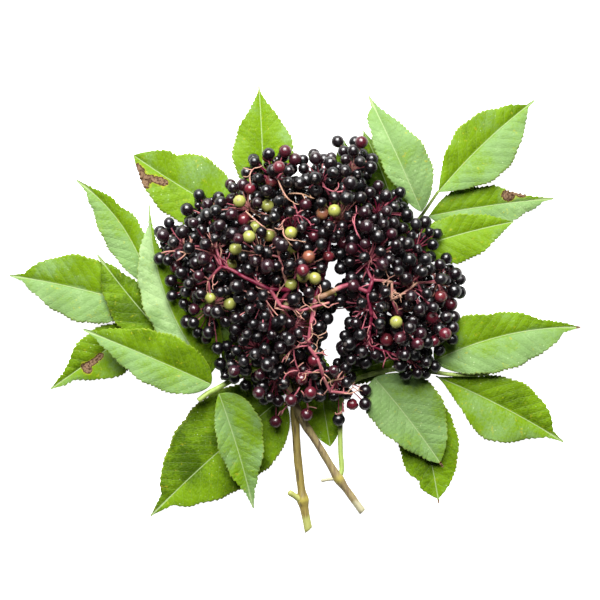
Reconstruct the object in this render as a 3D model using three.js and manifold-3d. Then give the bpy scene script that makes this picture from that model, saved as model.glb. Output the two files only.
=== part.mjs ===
// An elderberry bunch: two cut sprigs lying crossed, with two umbels of berries over a ring of leaves.
// Millimetres, +Z up. The bunch lies on Z = 0, and its cut stems point along -Y.
import * as THREE from 'three';
import { mergeVertices } from 'three/addons/utils/BufferGeometryUtils.js';
import Module from 'manifold-3d';

const wasm = await Module();
wasm.setup();

// Driving dimensions.
const berryRadius = 3.3; // a middling ripe berry's, so the largest are about 7 mm across
const smallestBerry = 0.86; // as parts of that radius
const largestBerry = 1.06;
const berryGap = 0.3; // air between neighbouring berries
const pedicelRadius = 0.4; // the thin stalk of one berry
const junctionRadius = 1.1; // where a spray's pedicels meet
const sprayStalkRadius = 0.7;
const hubRadius = 1.7; // where an umbel's rays meet
const rayTaper = 1.15; // how much thicker a ray starts than it ends
const leafThickness = 0.6;
const leafDroop = 0.16; // how far a leaf's margins curl back down, per millimetre of half width
const tailWidth = 6; // half width of a leaf's tail where it starts, as parts of its share of the length
const leastHalfWidth = 0.4; // so that a leaf's base and tip stay solid
const stalkStart = 2.6; // a spray's stalk begins this far along from the middle of its fork
const berriesModelled = 8; // per spray; the finished bunch has more of them on the same junctions
const middleOfBox = [-0.022, -0.026, 0]; // the middle of the bunch's outline, with its underside as height
const randomStart = 4127;

// Leaves: base and tip on the plan and bow of the midrib to the left of its growth. For left and
// right: half width, where along the leaf it is widest, and how drawn out both ends are. Then the
// part of the length that is tail, heights of the midrib's underside at base, middle and tip, and
// how steeply the left and right halves rise from the midrib.
const leaves = [
  { name: 'leaf_top', base: [-16, 50], tip: [-18.8, 115.5], bow: -0.5, half: [15.6, 16.4],
    widest: [0.45, 0.46], full: [2.9, 3.2], tail: 0, height: [5, 5, 0], fold: [0.3, 0.3] },
  { name: 'leaf_upper_left', base: [-31, 47], tip: [-84, 79.5], bow: 1, half: [16.5, 19.6],
    widest: [0.45, 0.43], full: [1.8, 1.55], tail: 0, height: [4, 2, 0], fold: [0.3, 0.25] },
  { name: 'leaf_left_upper', base: [-76, 12], tip: [-113.5, 66.5], bow: -6, half: [12, 8.4],
    widest: [0.42, 0.45], full: [1.7, 2.2], tail: 0.12, height: [2, 1, 0], fold: [0.25, 0.4] },
  { name: 'leaf_left_middle', base: [-79, 1], tip: [-148.5, 17], bow: -1.5, half: [16.5, 17.2],
    widest: [0.42, 0.48], full: [1.9, 2.1], tail: 0.1, height: [6, 5, 0], fold: [0.25, 0.3] },
  { name: 'leaf_left_inner', base: [-58, -25], tip: [-102, 27.5], bow: 1, half: [14.5, 9.5],
    widest: [0.45, 0.42], full: [1.8, 1.8], tail: 0.08, height: [7, 9.5, 9], fold: [0.2, 0.1] },
  { name: 'leaf_left_curled', base: [-43.5, -34], tip: [-75, 53], bow: 8, half: [12.5, 19],
    widest: [0.46, 0.26], full: [2.1, 2.5], tail: 0.1, height: [10.8, 12.8, 13], fold: [0.3, 0.05] },
  { name: 'leaf_left_front', base: [-43, -39], tip: [-109, -11], bow: -0.6, half: [13.2, 14.8],
    widest: [0.36, 0.36], full: [1.7, 1.6], tail: 0.1, height: [16, 17, 11], fold: [0.25, 0.35] },
  { name: 'leaf_left_spotted', base: [-80, -9], tip: [-127, -42], bow: 0, half: [14.5, 12],
    widest: [0.36, 0.42], full: [2.6, 2.1], tail: 0.16, height: [2, 2, 0], fold: [0.2, 0.3] },
  { name: 'leaf_bottom_broad', base: [-6.5, -46.5], tip: [-75, -108], bow: -1.4, half: [23.5, 25],
    widest: [0.38, 0.38], full: [1.3, 1.3], tail: 0.13, height: [3.5, 1.5, 0], fold: [0.2, 0.25] },
  { name: 'leaf_bottom_front', base: [-39, -44], tip: [-21.5, -103.5], bow: 1, half: [15.2, 9],
    widest: [0.32, 0.45], full: [1.6, 1.8], tail: 0.13, height: [14, 11, 6], fold: [0.3, 0.4] },
  { name: 'leaf_bottom_centre', base: [8, -9], tip: [18.3, -72], bow: 0, half: [10.5, 13.5],
    widest: [0.64, 0.58], full: [2.6, 2.2], tail: 0, height: [1.5, 0.5, 0], fold: [0.05, 0.1] },
  { name: 'leaf_lower_right_front', base: [41, -36], tip: [76.8, -82.5], bow: 1, half: [20.8, 15.4],
    widest: [0.42, 0.3], full: [1.8, 1.25], tail: 0.05, height: [9.5, 7.4, 4.2], fold: [0.12, 0.27] },
  { name: 'leaf_lower_right_back', base: [60, -36], tip: [74.8, -101.6], bow: 1, half: [16.4, 15],
    widest: [0.5, 0.55], full: [1.9, 2], tail: 0.04, height: [4, 1, 0], fold: [0.08, 0.15] },
  { name: 'leaf_right_lower', base: [72.8, -35.2], tip: [139.5, -69.5], bow: 1.7, half: [15.8, 18.6],
    widest: [0.56, 0.5], full: [2.6, 3.3], tail: 0.1, height: [6.5, 4, 0], fold: [0.25, 0.3] },
  { name: 'leaf_right_middle', base: [72, -27.2], tip: [148.5, -10], bow: 5, half: [15, 17.4],
    widest: [0.3, 0.43], full: [2, 1.4], tail: 0.12, height: [9, 9, 0], fold: [0.25, 0.3] },
  { name: 'leaf_right_inner', base: [65, 49.5], tip: [38, 109.5], bow: 0, half: [9.3, 14.6],
    widest: [0.5, 0.38], full: [1.4, 2.1], tail: 0.1, height: [16, 20, 9], fold: [0.25, 0.3] },
  { name: 'leaf_right_top', base: [73.5, 59.5], tip: [124.5, 108], bow: 2, half: [14.8, 18],
    widest: [0.48, 0.46], full: [2.5, 2.3], tail: 0.06, height: [12.5, 6.5, 0], fold: [0.3, 0.2] },
  { name: 'leaf_right_upper', base: [69, 47.5], tip: [134.5, 57], bow: 1, half: [12.4, 12],
    widest: [0.36, 0.42], full: [3, 1.9], tail: 0.08, height: [8, 4, 0], fold: [0.22, 0.1] },
  { name: 'leaf_right_under', base: [61, 30.5], tip: [112.5, 44.5], bow: 1, half: [10.5, 14.2],
    widest: [0.4, 0.42], full: [1.8, 1.9], tail: 0, height: [7, 11, 10], fold: [0.2, 0.3] },
  { name: 'leaf_hidden_right', base: [58, 28], tip: [35.5, 92], bow: -2, half: [12, 7.5],
    widest: [0.45, 0.45], full: [1.8, 2], tail: 0, height: [4, 4, 2], fold: [0.1, 0.1] },
  { name: 'leaf_hidden_middle', base: [28, 33], tip: [25.5, 87], bow: 0, half: [11, 11],
    widest: [0.45, 0.45], full: [1.8, 2], tail: 0, height: [1.5, 0.5, 2], fold: [0.1, 0.1] },
];

// Woody stems and green leaf stalks: the points of each one's route, and its radius.
const stems = [
  { name: 'stem_left', radius: 2.1, colour: '#8a7a3c', roughness: 0.8,
    swelling: [4, -100, 3.2], swell: 3.1, stub: [-3, -95, 4.5], stubRadius: 1.3,
    route: [[7, -115.2, 2.4], [4.2, -100, 2.6], [1.6, -79, 3.5], [0.5, -63, 4.6], [0, -48, 5.2],
      [2, -30, 7], [6, -12, 14], [9.5, 1, 29]] },
  { name: 'stem_right', radius: 1.9, colour: '#8c7d63', roughness: 0.85,
    swelling: [22.4, -88, 4], swell: 2.7, stub: [14, -89, 4.5], stubRadius: 0.8,
    route: [[35, -105.6, 2.2], [28.6, -96.7, 2.6], [22.4, -88, 4], [17, -79, 5.5], [10.4, -68, 7.5],
      [4, -58, 9.4], [0.5, -50, 10.2], [-5, -36, 11.5], [-8, -18, 15], [-4.5, 3, 29]] },
  { name: 'leaf_stalk_right', radius: 1.3, colour: '#6f8f2e', roughness: 0.6,
    route: [[24.2, -84, 4.2], [23.6, -74, 4.5], [23.4, -61, 5], [23.6, -50, 5.5], [29, -38.5, 6.5],
      [49, -32, 7], [62, -32.5, 7.5], [71, -33, 7.5]] },
  { name: 'leaf_stalk_left', radius: 1.4, colour: '#9bb04c', roughness: 0.6,
    route: [[-49.5, -47.5, 14], [-45, -44, 14.5], [-40.5, -41.7, 14.5], [-35, -38.5, 14.5],
      [-28, -35, 13], [-14, -32, 9], [-3.5, -34, 8]] },
  { name: 'leaf_stalk_upper_left', radius: 1.3, colour: '#7f9c3a', roughness: 0.6,
    route: [[-1.5, -24, 10], [-20, -27, 8], [-43.5, -27, 7], [-58, -21, 5.5], [-75, -2, 3.5]] },
  { name: 'leaf_stalk_top', radius: 1.3, colour: '#7f9c3a', roughness: 0.6,
    route: [[2, -8, 12], [-6, 10, 7], [-14, 30, 5], [-22, 47, 4.8]] },
  { name: 'leaf_stalk_right_top', radius: 1.3, colour: '#8aa83f', roughness: 0.6,
    route: [[12, 0, 18], [26, 12, 8], [44, 27, 7], [57, 38, 8], [64, 46, 9.5], [72, 57.5, 12]] },
];

// Forks of the two umbels. Each is joined to the fork named first, and open ones lie bare on top.
const umbels = {
  umbel_rays_left: {
    hub: [-3, 9, 33],
    forks: {
      westA: ['hub', [-12.5, 9.5, 36], 1.05, true],
      westB: ['westA', [-28, 17, 36], 0.95, true],
      westC: ['westB', [-37, 21, 34], 0.85, true],
      westNorth: ['westC', [-40, 31, 30], 0.7, true],
      westSouth: ['westC', [-44, 14, 29], 0.7, true],
      eastA: ['westA', [-7, 1, 36], 0.9, true],
      eastB: ['eastA', [3, -1.2, 36.5], 0.8, true],
      eastC: ['eastB', [17, 2.8, 36.3], 0.65, true],
      southA: ['hub', [-12, -3, 29], 0.8, false],
      southB: ['southA', [-15, -25, 24], 0.75, false],
      northA: ['hub', [-8, 26, 31], 0.7, false],
      northB: ['northA', [-11, 46, 29], 0.6, false],
      northC: ['northB', [-5, 60, 26], 0.55, false],
    },
  },
  umbel_rays_right: {
    hub: [10.5, 5, 32],
    forks: {
      eastA: ['hub', [20, 9, 34], 1.3, true],
      eastB: ['eastA', [28, 12, 35.5], 1.2, true],
      eastC: ['eastB', [37, 8, 35.5], 1.1, true],
      eastNorthA: ['eastC', [39, 14, 35], 0.9, true],
      eastNorthB: ['eastNorthA', [36, 21, 33], 0.8, true],
      loopA: ['eastNorthA', [49, 13, 34], 0.75, true],
      loopB: ['loopA', [49, 4, 32.5], 0.7, true],
      eastSouthA: ['eastC', [39, -4, 33], 0.9, true],
      eastSouthB: ['eastSouthA', [38, -11, 31], 0.8, true],
      eastSouthC: ['eastSouthB', [38, -19, 28], 0.7, true],
      eastSouthD: ['eastSouthC', [49, -23, 25], 0.6, true],
      farEast: ['loopB', [62, 13, 29], 0.65, true],
      southA: ['hub', [8, -9, 34], 1.0, true],
      southB: ['southA', [7, -19, 32.5], 0.95, true],
      southC: ['southB', [11, -25, 31], 0.9, true],
      southD: ['southC', [14, -34, 27], 0.85, true],
      southE: ['southD', [18, -42.5, 23], 0.8, true],
      southF: ['southE', [29, -44, 19], 0.6, true],
      northA: ['hub', [16, 21, 26], 0.9, false],
      northB: ['northA', [19, 38, 22], 0.8, false],
      northC: ['northB', [18, 57, 20], 0.7, false],
    },
  },
};

// Berry sprays: centre and half sizes of the space that the berries fill, and the fork each hangs on.
const left = 'umbel_rays_left';
const right = 'umbel_rays_right';
const sprays = [
  { centre: [-12, 68, 20], reach: [13, 11.5, 12], hangsOn: [left, 'northC'] },
  { centre: [12, 68, 18], reach: [12, 11, 11], hangsOn: [right, 'northC'] },
  { centre: [-45, 49, 15], reach: [11, 10, 10], hangsOn: [left, 'westNorth'] },
  { centre: [-27, 52, 23], reach: [12, 13, 11], hangsOn: [left, 'northB'] },
  { centre: [0, 44, 26], reach: [13, 13, 12], hangsOn: [left, 'northA'] },
  { centre: [-60, 32, 16], reach: [11, 13, 11], hangsOn: [left, 'westNorth'] },
  { centre: [-43, 30, 23], reach: [13, 13, 12], hangsOn: [left, 'westC'] },
  { centre: [-20, 28, 27], reach: [13, 13, 12], hangsOn: [left, 'northA'] },
  { centre: [-53, 11, 18], reach: [11, 11, 9], hangsOn: [left, 'westSouth'] },
  { centre: [-42, -2, 22], reach: [15, 14, 10], hangsOn: [left, 'westSouth'] },
  { centre: [3, 22, 27], reach: [13, 12, 12], hangsOn: [left, 'hub'] },
  { centre: [-17, 3, 26], reach: [14, 13, 12], hangsOn: [left, 'westA'] },
  { centre: [-22, -18, 21], reach: [13, 12, 12], hangsOn: [left, 'southB'] },
  { centre: [2, -11, 23], reach: [12, 12, 12], hangsOn: [left, 'eastA'] },
  { centre: [-27.5, -31, 16], reach: [9.5, 9, 10], hangsOn: [left, 'southB'] },
  { centre: [-9, -39, 17], reach: [14, 9, 10], hangsOn: [left, 'southB'] },
  { centre: [8, -34, 18], reach: [11, 12, 11], hangsOn: [right, 'southC'] },
  { centre: [22.5, -35, 14], reach: [7, 11, 8], hangsOn: [right, 'southE'] },
  { centre: [31, 73, 15], reach: [9.5, 10, 9], hangsOn: [right, 'northC'] },
  { centre: [24, 48, 22], reach: [13, 13, 12], hangsOn: [right, 'northB'] },
  { centre: [46, 50, 20], reach: [13, 13, 12], hangsOn: [right, 'northB'] },
  { centre: [61.5, 33, 19], reach: [9.5, 13, 10], hangsOn: [right, 'farEast'] },
  { centre: [40, 27, 26], reach: [14, 13, 12], hangsOn: [right, 'eastNorthB'] },
  { centre: [75.5, 13, 15], reach: [10, 13, 10], hangsOn: [right, 'farEast'] },
  { centre: [60, 11, 23], reach: [13, 13, 12], hangsOn: [right, 'loopA'] },
  { centre: [38, 0, 25], reach: [13, 12, 12], hangsOn: [right, 'eastC'] },
  { centre: [73, -9.5, 16], reach: [9, 12.5, 11], hangsOn: [right, 'farEast'] },
  { centre: [57, -13, 21], reach: [12, 13, 12], hangsOn: [right, 'loopB'] },
  { centre: [36, -18, 18], reach: [12, 10, 10], hangsOn: [right, 'eastSouthB'] },
  { centre: [61, -27, 15], reach: [12, 7.5, 9], hangsOn: [right, 'eastSouthD'] },
];

// Berries that hang clear of the rest, each with the number of its spray.
const strays = [
  { spray: 17, at: [36.2, -42.4, 12.4] },
  { spray: 17, at: [36.1, -49.2, 14.8] },
  { spray: 17, at: [22.5, -57.5, 10.2] },
  { spray: 17, at: [29.5, -49.5, 13] },
  { spray: 16, at: [6, -54.5, 18] },
  { spray: 15, at: [-10, -58.5, 11] },
  { spray: 21, at: [73, 38, 16] },
  { spray: 18, at: [22, 86, 9] },
  { spray: 18, at: [31, 85.5, 11] },
];

// Rules for packing the berries.
const rounds = 150; // tries at the outside of each spray
const cellMargin = 0.8; // a berry's centre keeps this far inside its own spray's cell
const shortestPedicel = 5;
const junctionShift = 0.35; // from a spray's centre to its junction, as a part of its mean reach
const groundGap = 0.5; // air under the lowest berries
const leafRows = 16; // leaves are sampled in this many steps along
const leafColumns = 3; // and this many across each half
const pedicelClearance = 0.75; // from a pedicel's sampled points to any other piece's surface
const pedicelSamples = [0.2, 0.4, 0.6, 0.8];
const leafClearance = 5.5; // from a berry's centre to a sampled point of a leaf
const pedicelToLeaf = 3.5; // from a pedicel's sampled points to a sampled point of a leaf
const backCone = 0.6; // no pedicel turns back along its spray's stalk more than this cosine
const routeBow = 0.7; // a smooth stem strays this far from the straight lines between its points

// Half width along a leaf, as a part of its widest: t^a (e - t)^b up to e, where the tail begins,
// blended with a slim wedge that runs to the tip.
function outline(t, widest, full, tail) {
  const end = 1 - tail;
  const body = ((t / widest) ** (full * widest))
    * ((Math.max(end - t, 0) / (end - widest)) ** (full * (end - widest)));
  const wedge = tailWidth * tail * (1 - t) * Math.min(t / widest, 1);
  return Math.cbrt(body ** 3 + wedge ** 3);
}

// A leaf's surface: the midrib is a line with a parabolic bow, and each half spreads square to it
// by its half width, rising by the fold and curling back by the droop.
function leafPoint(leaf, t, across) {
  const run = [leaf.tip[0] - leaf.base[0], leaf.tip[1] - leaf.base[1]];
  const length = Math.hypot(run[0], run[1]);
  const forward = [run[0] / length, run[1] / length];
  const sideways = 4 * leaf.bow * t * (1 - t);
  const turn = 4 * leaf.bow * (1 - 2 * t);
  const reach = Math.hypot(length, turn);
  const toLeft = [-(forward[1] * length + forward[0] * turn) / reach,
    (forward[0] * length - forward[1] * turn) / reach];
  const side = across > 0 ? 0 : 1;
  const widthHere = leaf.half[side] * outline(t, leaf.widest[side], leaf.full[side], leaf.tail);
  const half = Math.max(widthHere, leastHalfWidth);
  const rise = leaf.fold[side] * Math.abs(across) - leafDroop * across * across;
  const [low, middle, high] = leaf.height;
  const midrib = low * (1 - t) * (1 - 2 * t) + 4 * middle * t * (1 - t) + high * t * (2 * t - 1);
  return [
    leaf.base[0] + run[0] * t - forward[1] * sideways + toLeft[0] * across * half,
    leaf.base[1] + run[1] * t + forward[0] * sideways + toLeft[1] * across * half,
    Math.max(midrib + half * rise, 0),
  ];
}

// Small vector helpers on [x, y, z].
const minus = (a, b) => [a[0] - b[0], a[1] - b[1], a[2] - b[2]];
const dot = (a, b) => a[0] * b[0] + a[1] * b[1] + a[2] * b[2];
const along = (a, b, t) => a.map((value, axis) => value + (b[axis] - value) * t);
const distance = (a, b) => Math.sqrt(dot(minus(a, b), minus(a, b)));

// Distance from a point to a straight link. Nothing may hang above an open link.
function distanceToLink(point, link) {
  const span = minus(link.to, link.from);
  const t = Math.min(1, Math.max(0, dot(minus(point, link.from), span) / dot(span, span)));
  const away = minus(point, along(link.from, link.to, t));
  if (link.open && away[2] > 0) away[2] = 0;
  return Math.sqrt(dot(away, away));
}

function forkPoint(umbel, name) {
  return name === 'hub' ? umbels[umbel].hub : umbels[umbel].forks[name][1];
}

// Each spray's junction lies towards its fork, and its stalk runs from just clear of that fork.
function placeJunctions() {
  for (const spray of sprays) {
    const fork = forkPoint(...spray.hangsOn);
    const towards = minus(fork, spray.centre);
    const away = Math.sqrt(dot(towards, towards));
    const meanReach = (spray.reach[0] + spray.reach[1] + spray.reach[2]) / 3;
    spray.junction = along(spray.centre, fork, junctionShift * meanReach / away);
    const back = distance(fork, spray.junction);
    spray.back = minus(fork, spray.junction).map((value) => value / back);
    spray.stalkEnd = along(fork, spray.junction, stalkStart / back);
    spray.berries = [];
  }
}

// Everything that berries keep clear of: stems, rays and the stalks of sprays.
function listLinks() {
  const links = [];
  for (const stem of stems) {
    for (let i = 1; i < stem.route.length; i += 1) {
      links.push({ from: stem.route[i - 1], to: stem.route[i], radius: stem.radius + routeBow });
    }
  }
  for (const umbel of Object.values(umbels)) {
    for (const [from, to, radius, open] of Object.values(umbel.forks)) {
      const start = from === 'hub' ? umbel.hub : umbel.forks[from][1];
      links.push({ from: start, to, radius, open });
    }
  }
  sprays.forEach((spray, owner) => {
    links.push({ from: spray.stalkEnd, to: spray.junction, radius: sprayStalkRadius, owner });
  });
  return links;
}

function listLeafPoints() {
  const points = [];
  for (const leaf of leaves) {
    for (let row = 0; row <= leafRows; row += 1) {
      for (let column = -leafColumns; column <= leafColumns; column += 1) {
        points.push(leafPoint(leaf, row / leafRows, column / leafColumns));
      }
    }
  }
  return points;
}

function addBerry(number, at, radius) {
  const { junction, berries } = sprays[number];
  berries.push({ at, radius, samples: pedicelSamples.map((t) => along(junction, at, t)) });
}

// True when a berry and its pedicel have room in their own spray's cell.
function hasRoom(number, at, radius, links, leafPoints) {
  const spray = sprays[number];
  const pedicel = distance(at, spray.junction);
  if (pedicel < shortestPedicel) return false;
  if (dot(minus(at, spray.junction), spray.back) / pedicel > backCone) return false;
  if (at[2] < radius + groundGap) return false;
  for (let other = 0; other < sprays.length; other += 1) {
    if (other === number) continue;
    const between = minus(sprays[other].centre, spray.centre);
    const middle = along(spray.centre, sprays[other].centre, 0.5);
    if (dot(minus(at, middle), between) / Math.sqrt(dot(between, between)) > -cellMargin) return false;
  }
  if (links.some((link) => distanceToLink(at, link) < radius + link.radius + berryGap)) return false;
  const samples = pedicelSamples.map((t) => along(spray.junction, at, t));
  const nearLeaf = (point) => leafPoints.some((leaf) => distance(point, leaf) < pedicelToLeaf);
  if (samples.some(nearLeaf)) return false;
  if (leafPoints.some((leaf) => distance(leaf, at) < leafClearance)) return false;
  for (const link of links) {
    if (link.owner === number) continue;
    const room = pedicelRadius + link.radius + pedicelClearance;
    if (samples.some((point) => distanceToLink(point, { ...link, open: false }) < room)) return false;
  }
  for (let other = 0; other < sprays.length; other += 1) {
    for (const berry of sprays[other].berries) {
      if (distance(berry.at, at) < berry.radius + radius + berryGap) return false;
      if (other === number) continue;
      const newPedicel = berry.radius + pedicelRadius + pedicelClearance;
      if (samples.some((point) => distance(point, berry.at) < newPedicel)) return false;
      const oldPedicel = radius + pedicelRadius + pedicelClearance;
      if (berry.samples.some((point) => distance(point, at) < oldPedicel)) return false;
    }
  }
  return true;
}

// Berries are thrown onto the outside of each spray's space.
function placeBerries() {
  let seed = randomStart;
  const random = () => {
    seed = (seed * 16807) % 2147483647;
    return seed / 2147483647;
  };
  const links = listLinks();
  const leafPoints = listLeafPoints();
  for (const stray of strays) addBerry(stray.spray, stray.at, berryRadius);
  for (let round = 0; round < rounds; round += 1) {
    for (let number = 0; number < sprays.length; number += 1) {
      const { centre, reach, berries } = sprays[number];
      const turn = 2 * Math.PI * random();
      const level = 2 * random() - 1;
      const radius = berryRadius * (smallestBerry + (largestBerry - smallestBerry) * random());
      const flat = Math.sqrt(1 - level * level);
      const at = [
        centre[0] + reach[0] * flat * Math.cos(turn),
        centre[1] + reach[1] * flat * Math.sin(turn),
        centre[2] + reach[2] * level,
      ];
      if (berries.length < berriesModelled && hasRoom(number, at, radius, links, leafPoints)) {
        addBerry(number, at, radius);
      }
    }
  }
}

// Solids.
function toSolid(geometry) {
  const bare = geometry.clone();
  bare.deleteAttribute('normal');
  bare.deleteAttribute('uv');
  const merged = mergeVertices(bare, 1e-4);
  return new wasm.Manifold(new wasm.Mesh({
    numProp: 3,
    vertProperties: new Float32Array(merged.attributes.position.array),
    triVerts: new Uint32Array(merged.index.array),
  }));
}

function toGeometry(solid) {
  const mesh = solid.getMesh();
  const geometry = new THREE.BufferGeometry();
  geometry.setAttribute('position', new THREE.BufferAttribute(mesh.vertProperties, 3));
  geometry.setIndex(new THREE.BufferAttribute(mesh.triVerts, 1));
  geometry.computeVertexNormals();
  return geometry;
}

const joined = (geometries) => geometries.map(toSolid).reduce((whole, solid) => whole.add(solid));

function ball(at, radius, detail = 0) {
  return new THREE.IcosahedronGeometry(radius, detail).translate(...at);
}

// A straight tapering stick between two points.
function stick(from, to, startRadius, endRadius, sides) {
  const start = new THREE.Vector3(...from);
  const run = new THREE.Vector3(...to).sub(start);
  const geometry = new THREE.CylinderGeometry(endRadius, startRadius, run.length(), sides);
  geometry.translate(0, run.length() / 2, 0);
  geometry.applyQuaternion(new THREE.Quaternion().setFromUnitVectors(
    new THREE.Vector3(0, 1, 0), run.normalize()));
  return geometry.translate(...from);
}

// A round stem of one radius along a smooth route.
function stemTube(route, radius, sides) {
  const curve = new THREE.CatmullRomCurve3(route.map((point) => new THREE.Vector3(...point)));
  const section = new THREE.Shape(Array.from({ length: sides }, (_, i) => {
    const turn = (2 * Math.PI * i) / sides;
    return new THREE.Vector2(radius * Math.cos(turn), radius * Math.sin(turn));
  }));
  return new THREE.ExtrudeGeometry(section, {
    extrudePath: curve, steps: Math.round(1.5 * route.length), curveSegments: 1, bevelEnabled: false,
  });
}

function stemGeometry(stem) {
  const parts = [stemTube(stem.route, stem.radius, 8)];
  if (stem.swelling) {
    parts.push(ball(stem.swelling, stem.swell));
    parts.push(stick(stem.swelling, stem.stub, stem.stubRadius * 1.3, stem.stubRadius, 6));
  }
  return toGeometry(joined(parts));
}

// The rays of one umbel: a hub, and a tapering link to every fork.
function umbelGeometry(umbel) {
  const parts = [ball(umbel.hub, hubRadius)];
  for (const [from, to, radius] of Object.values(umbel.forks)) {
    const start = from === 'hub' ? umbel.hub : umbel.forks[from][1];
    parts.push(stick(start, to, radius * rayTaper, radius, 5));
  }
  return toGeometry(joined(parts));
}

function sprayGeometry(spray) {
  const parts = [ball(spray.junction, junctionRadius)];
  parts.push(stick(spray.stalkEnd, spray.junction, sprayStalkRadius, sprayStalkRadius, 5));
  for (const berry of spray.berries.slice(0, berriesModelled)) {
    parts.push(stick(spray.junction, berry.at, pedicelRadius, pedicelRadius, 3));
    parts.push(ball(berry.at, berry.radius));
  }
  return toGeometry(joined(parts));
}

// A leaf starts as a flat slab, 4 cells across and 6 along, and every point of it is bent into place.
function leafGeometry(leaf) {
  const slab = new THREE.BoxGeometry(2, 1, 1, 4, 6, 1);
  const places = slab.attributes.position;
  for (let i = 0; i < places.count; i += 1) {
    const [x, y, z] = leafPoint(leaf, places.getY(i) + 0.5, -places.getX(i));
    places.setXYZ(i, x, y, z + (places.getZ(i) > 0 ? leafThickness : 0));
  }
  return toGeometry(toSolid(slab));
}

// Materials and assembly.
const leafMaterial = new THREE.MeshStandardMaterial({ color: '#5e9a22', roughness: 0.55, metalness: 0 });
const berryMaterial = new THREE.MeshStandardMaterial({ color: '#17111c', roughness: 0.25, metalness: 0 });
const rayMaterial = new THREE.MeshStandardMaterial({ color: '#8b2a42', roughness: 0.5, metalness: 0 });

const bunch = new THREE.Group();

function addPiece(name, geometry, material) {
  const piece = new THREE.Mesh(geometry, material);
  piece.name = name;
  piece.position.set(-middleOfBox[0], -middleOfBox[1], -middleOfBox[2]);
  bunch.add(piece);
}

placeJunctions();
placeBerries();

for (const leaf of leaves) addPiece(leaf.name, leafGeometry(leaf), leafMaterial);
for (const stem of stems) {
  const { colour, roughness } = stem;
  const stemMaterial = new THREE.MeshStandardMaterial({ color: colour, roughness, metalness: 0 });
  addPiece(stem.name, stemGeometry(stem), stemMaterial);
}
for (const [name, umbel] of Object.entries(umbels)) addPiece(name, umbelGeometry(umbel), rayMaterial);
sprays.forEach((spray, index) => {
  addPiece(`berry_spray_${String(index + 1).padStart(2, '0')}`, sprayGeometry(spray), berryMaterial);
});

export default bunch;
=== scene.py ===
import math
import bpy
import numpy as np
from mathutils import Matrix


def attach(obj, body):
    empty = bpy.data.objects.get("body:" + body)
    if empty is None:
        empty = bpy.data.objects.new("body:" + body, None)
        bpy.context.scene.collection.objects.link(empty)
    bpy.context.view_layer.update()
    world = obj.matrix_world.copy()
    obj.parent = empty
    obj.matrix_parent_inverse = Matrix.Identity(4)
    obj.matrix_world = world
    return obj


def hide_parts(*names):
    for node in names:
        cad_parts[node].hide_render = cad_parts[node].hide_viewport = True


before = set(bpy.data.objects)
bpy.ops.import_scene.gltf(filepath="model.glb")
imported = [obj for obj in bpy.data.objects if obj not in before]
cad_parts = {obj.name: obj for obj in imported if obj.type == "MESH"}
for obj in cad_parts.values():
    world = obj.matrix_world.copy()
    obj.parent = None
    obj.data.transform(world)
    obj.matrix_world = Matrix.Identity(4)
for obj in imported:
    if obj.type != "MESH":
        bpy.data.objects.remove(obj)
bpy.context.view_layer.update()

mm = 0.001
middleOfBox = np.array([-0.022, -0.026, 0.0])  # the frame's origin, in the drawing's millimetres


# Links or sets inputs of a node; a colour is given as three numbers.
def setInputs(tree, node, inputs):
    for key, value in inputs.items():
        if isinstance(value, bpy.types.NodeSocket):
            tree.links.new(value, node.inputs[key])
        elif node.inputs[key].type == "RGBA":
            node.inputs[key].default_value = (*value, 1.0)
        else:
            node.inputs[key].default_value = value


# Adds a node with its properties and inputs.
def wire(tree, kind, inputs=None, **settings):
    node = tree.nodes.new(kind)
    for key, value in settings.items():
        setattr(node, key, value)
    setInputs(tree, node, inputs or {})
    return node


def maths(tree, operation, first, second=0.0, third=0.0):
    return wire(tree, "ShaderNodeMath", {0: first, 1: second, 2: third}, operation=operation).outputs[0]


def mixColour(tree, factor, first, second):
    return wire(tree, "ShaderNodeMix", {0: factor, 6: first, 7: second}, data_type="RGBA").outputs[2]


def mapRange(tree, value, low, high, toLow=0.0, toHigh=1.0):
    node = wire(tree, "ShaderNodeMapRange", {0: value, 1: low, 2: high, 3: toLow, 4: toHigh},
                interpolation_type="SMOOTHSTEP")
    return node.outputs[0]


def attribute(tree, name):
    return wire(tree, "ShaderNodeAttribute", attribute_name=name).outputs["Fac"]


def noise(tree, vector, scale, detail=3.0, roughness=0.55):
    return wire(tree, "ShaderNodeTexNoise", {"Vector": vector, "Scale": scale, "Detail": detail,
                                             "Roughness": roughness}).outputs["Fac"]


# A colour band through named stops of a look.
def colourRamp(tree, value, stops, look):
    node = wire(tree, "ShaderNodeValToRGB", {"Fac": value})
    while len(node.color_ramp.elements) < len(stops):
        node.color_ramp.elements.new(0.5)
    for element, (position, label) in zip(node.color_ramp.elements, stops):
        element.position = position
        element.color = (*look[label], 1.0)
    return node.outputs["Color"]


# What every skin ends with: its colour, how rough and glossy it is, and a relief.
def finishSkin(tree, surface, look, colour, roughness, height):
    bump = wire(tree, "ShaderNodeBump", {"Height": height, "Strength": look["bumpStrength"],
                                         "Distance": look["bumpDepth"]})
    setInputs(tree, surface, {"Base Color": colour, "Roughness": roughness, "Normal": bump.outputs[0],
                              "Specular IOR Level": look["specular"]})


def newMaterial(name):
    material = bpy.data.materials.new(name)
    material.use_nodes = True
    return material, material.node_tree, material.node_tree.nodes["Principled BSDF"]


# A shader group; its sockets are given as a label and Float or Color.
def newGroup(name, inputs, outputs):
    tree = bpy.data.node_groups.new(name, "ShaderNodeTree")
    for way, sockets in (("INPUT", inputs), ("OUTPUT", outputs)):
        for label, kind in sockets.items():
            tree.interface.new_socket(name=label, in_out=way, socket_type="NodeSocket" + kind)
    return tree, tree.nodes.new("NodeGroupInput").outputs, tree.nodes.new("NodeGroupOutput").inputs


def useGroup(tree, group, values):
    return wire(tree, "ShaderNodeGroup", values, node_tree=group).outputs


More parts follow.
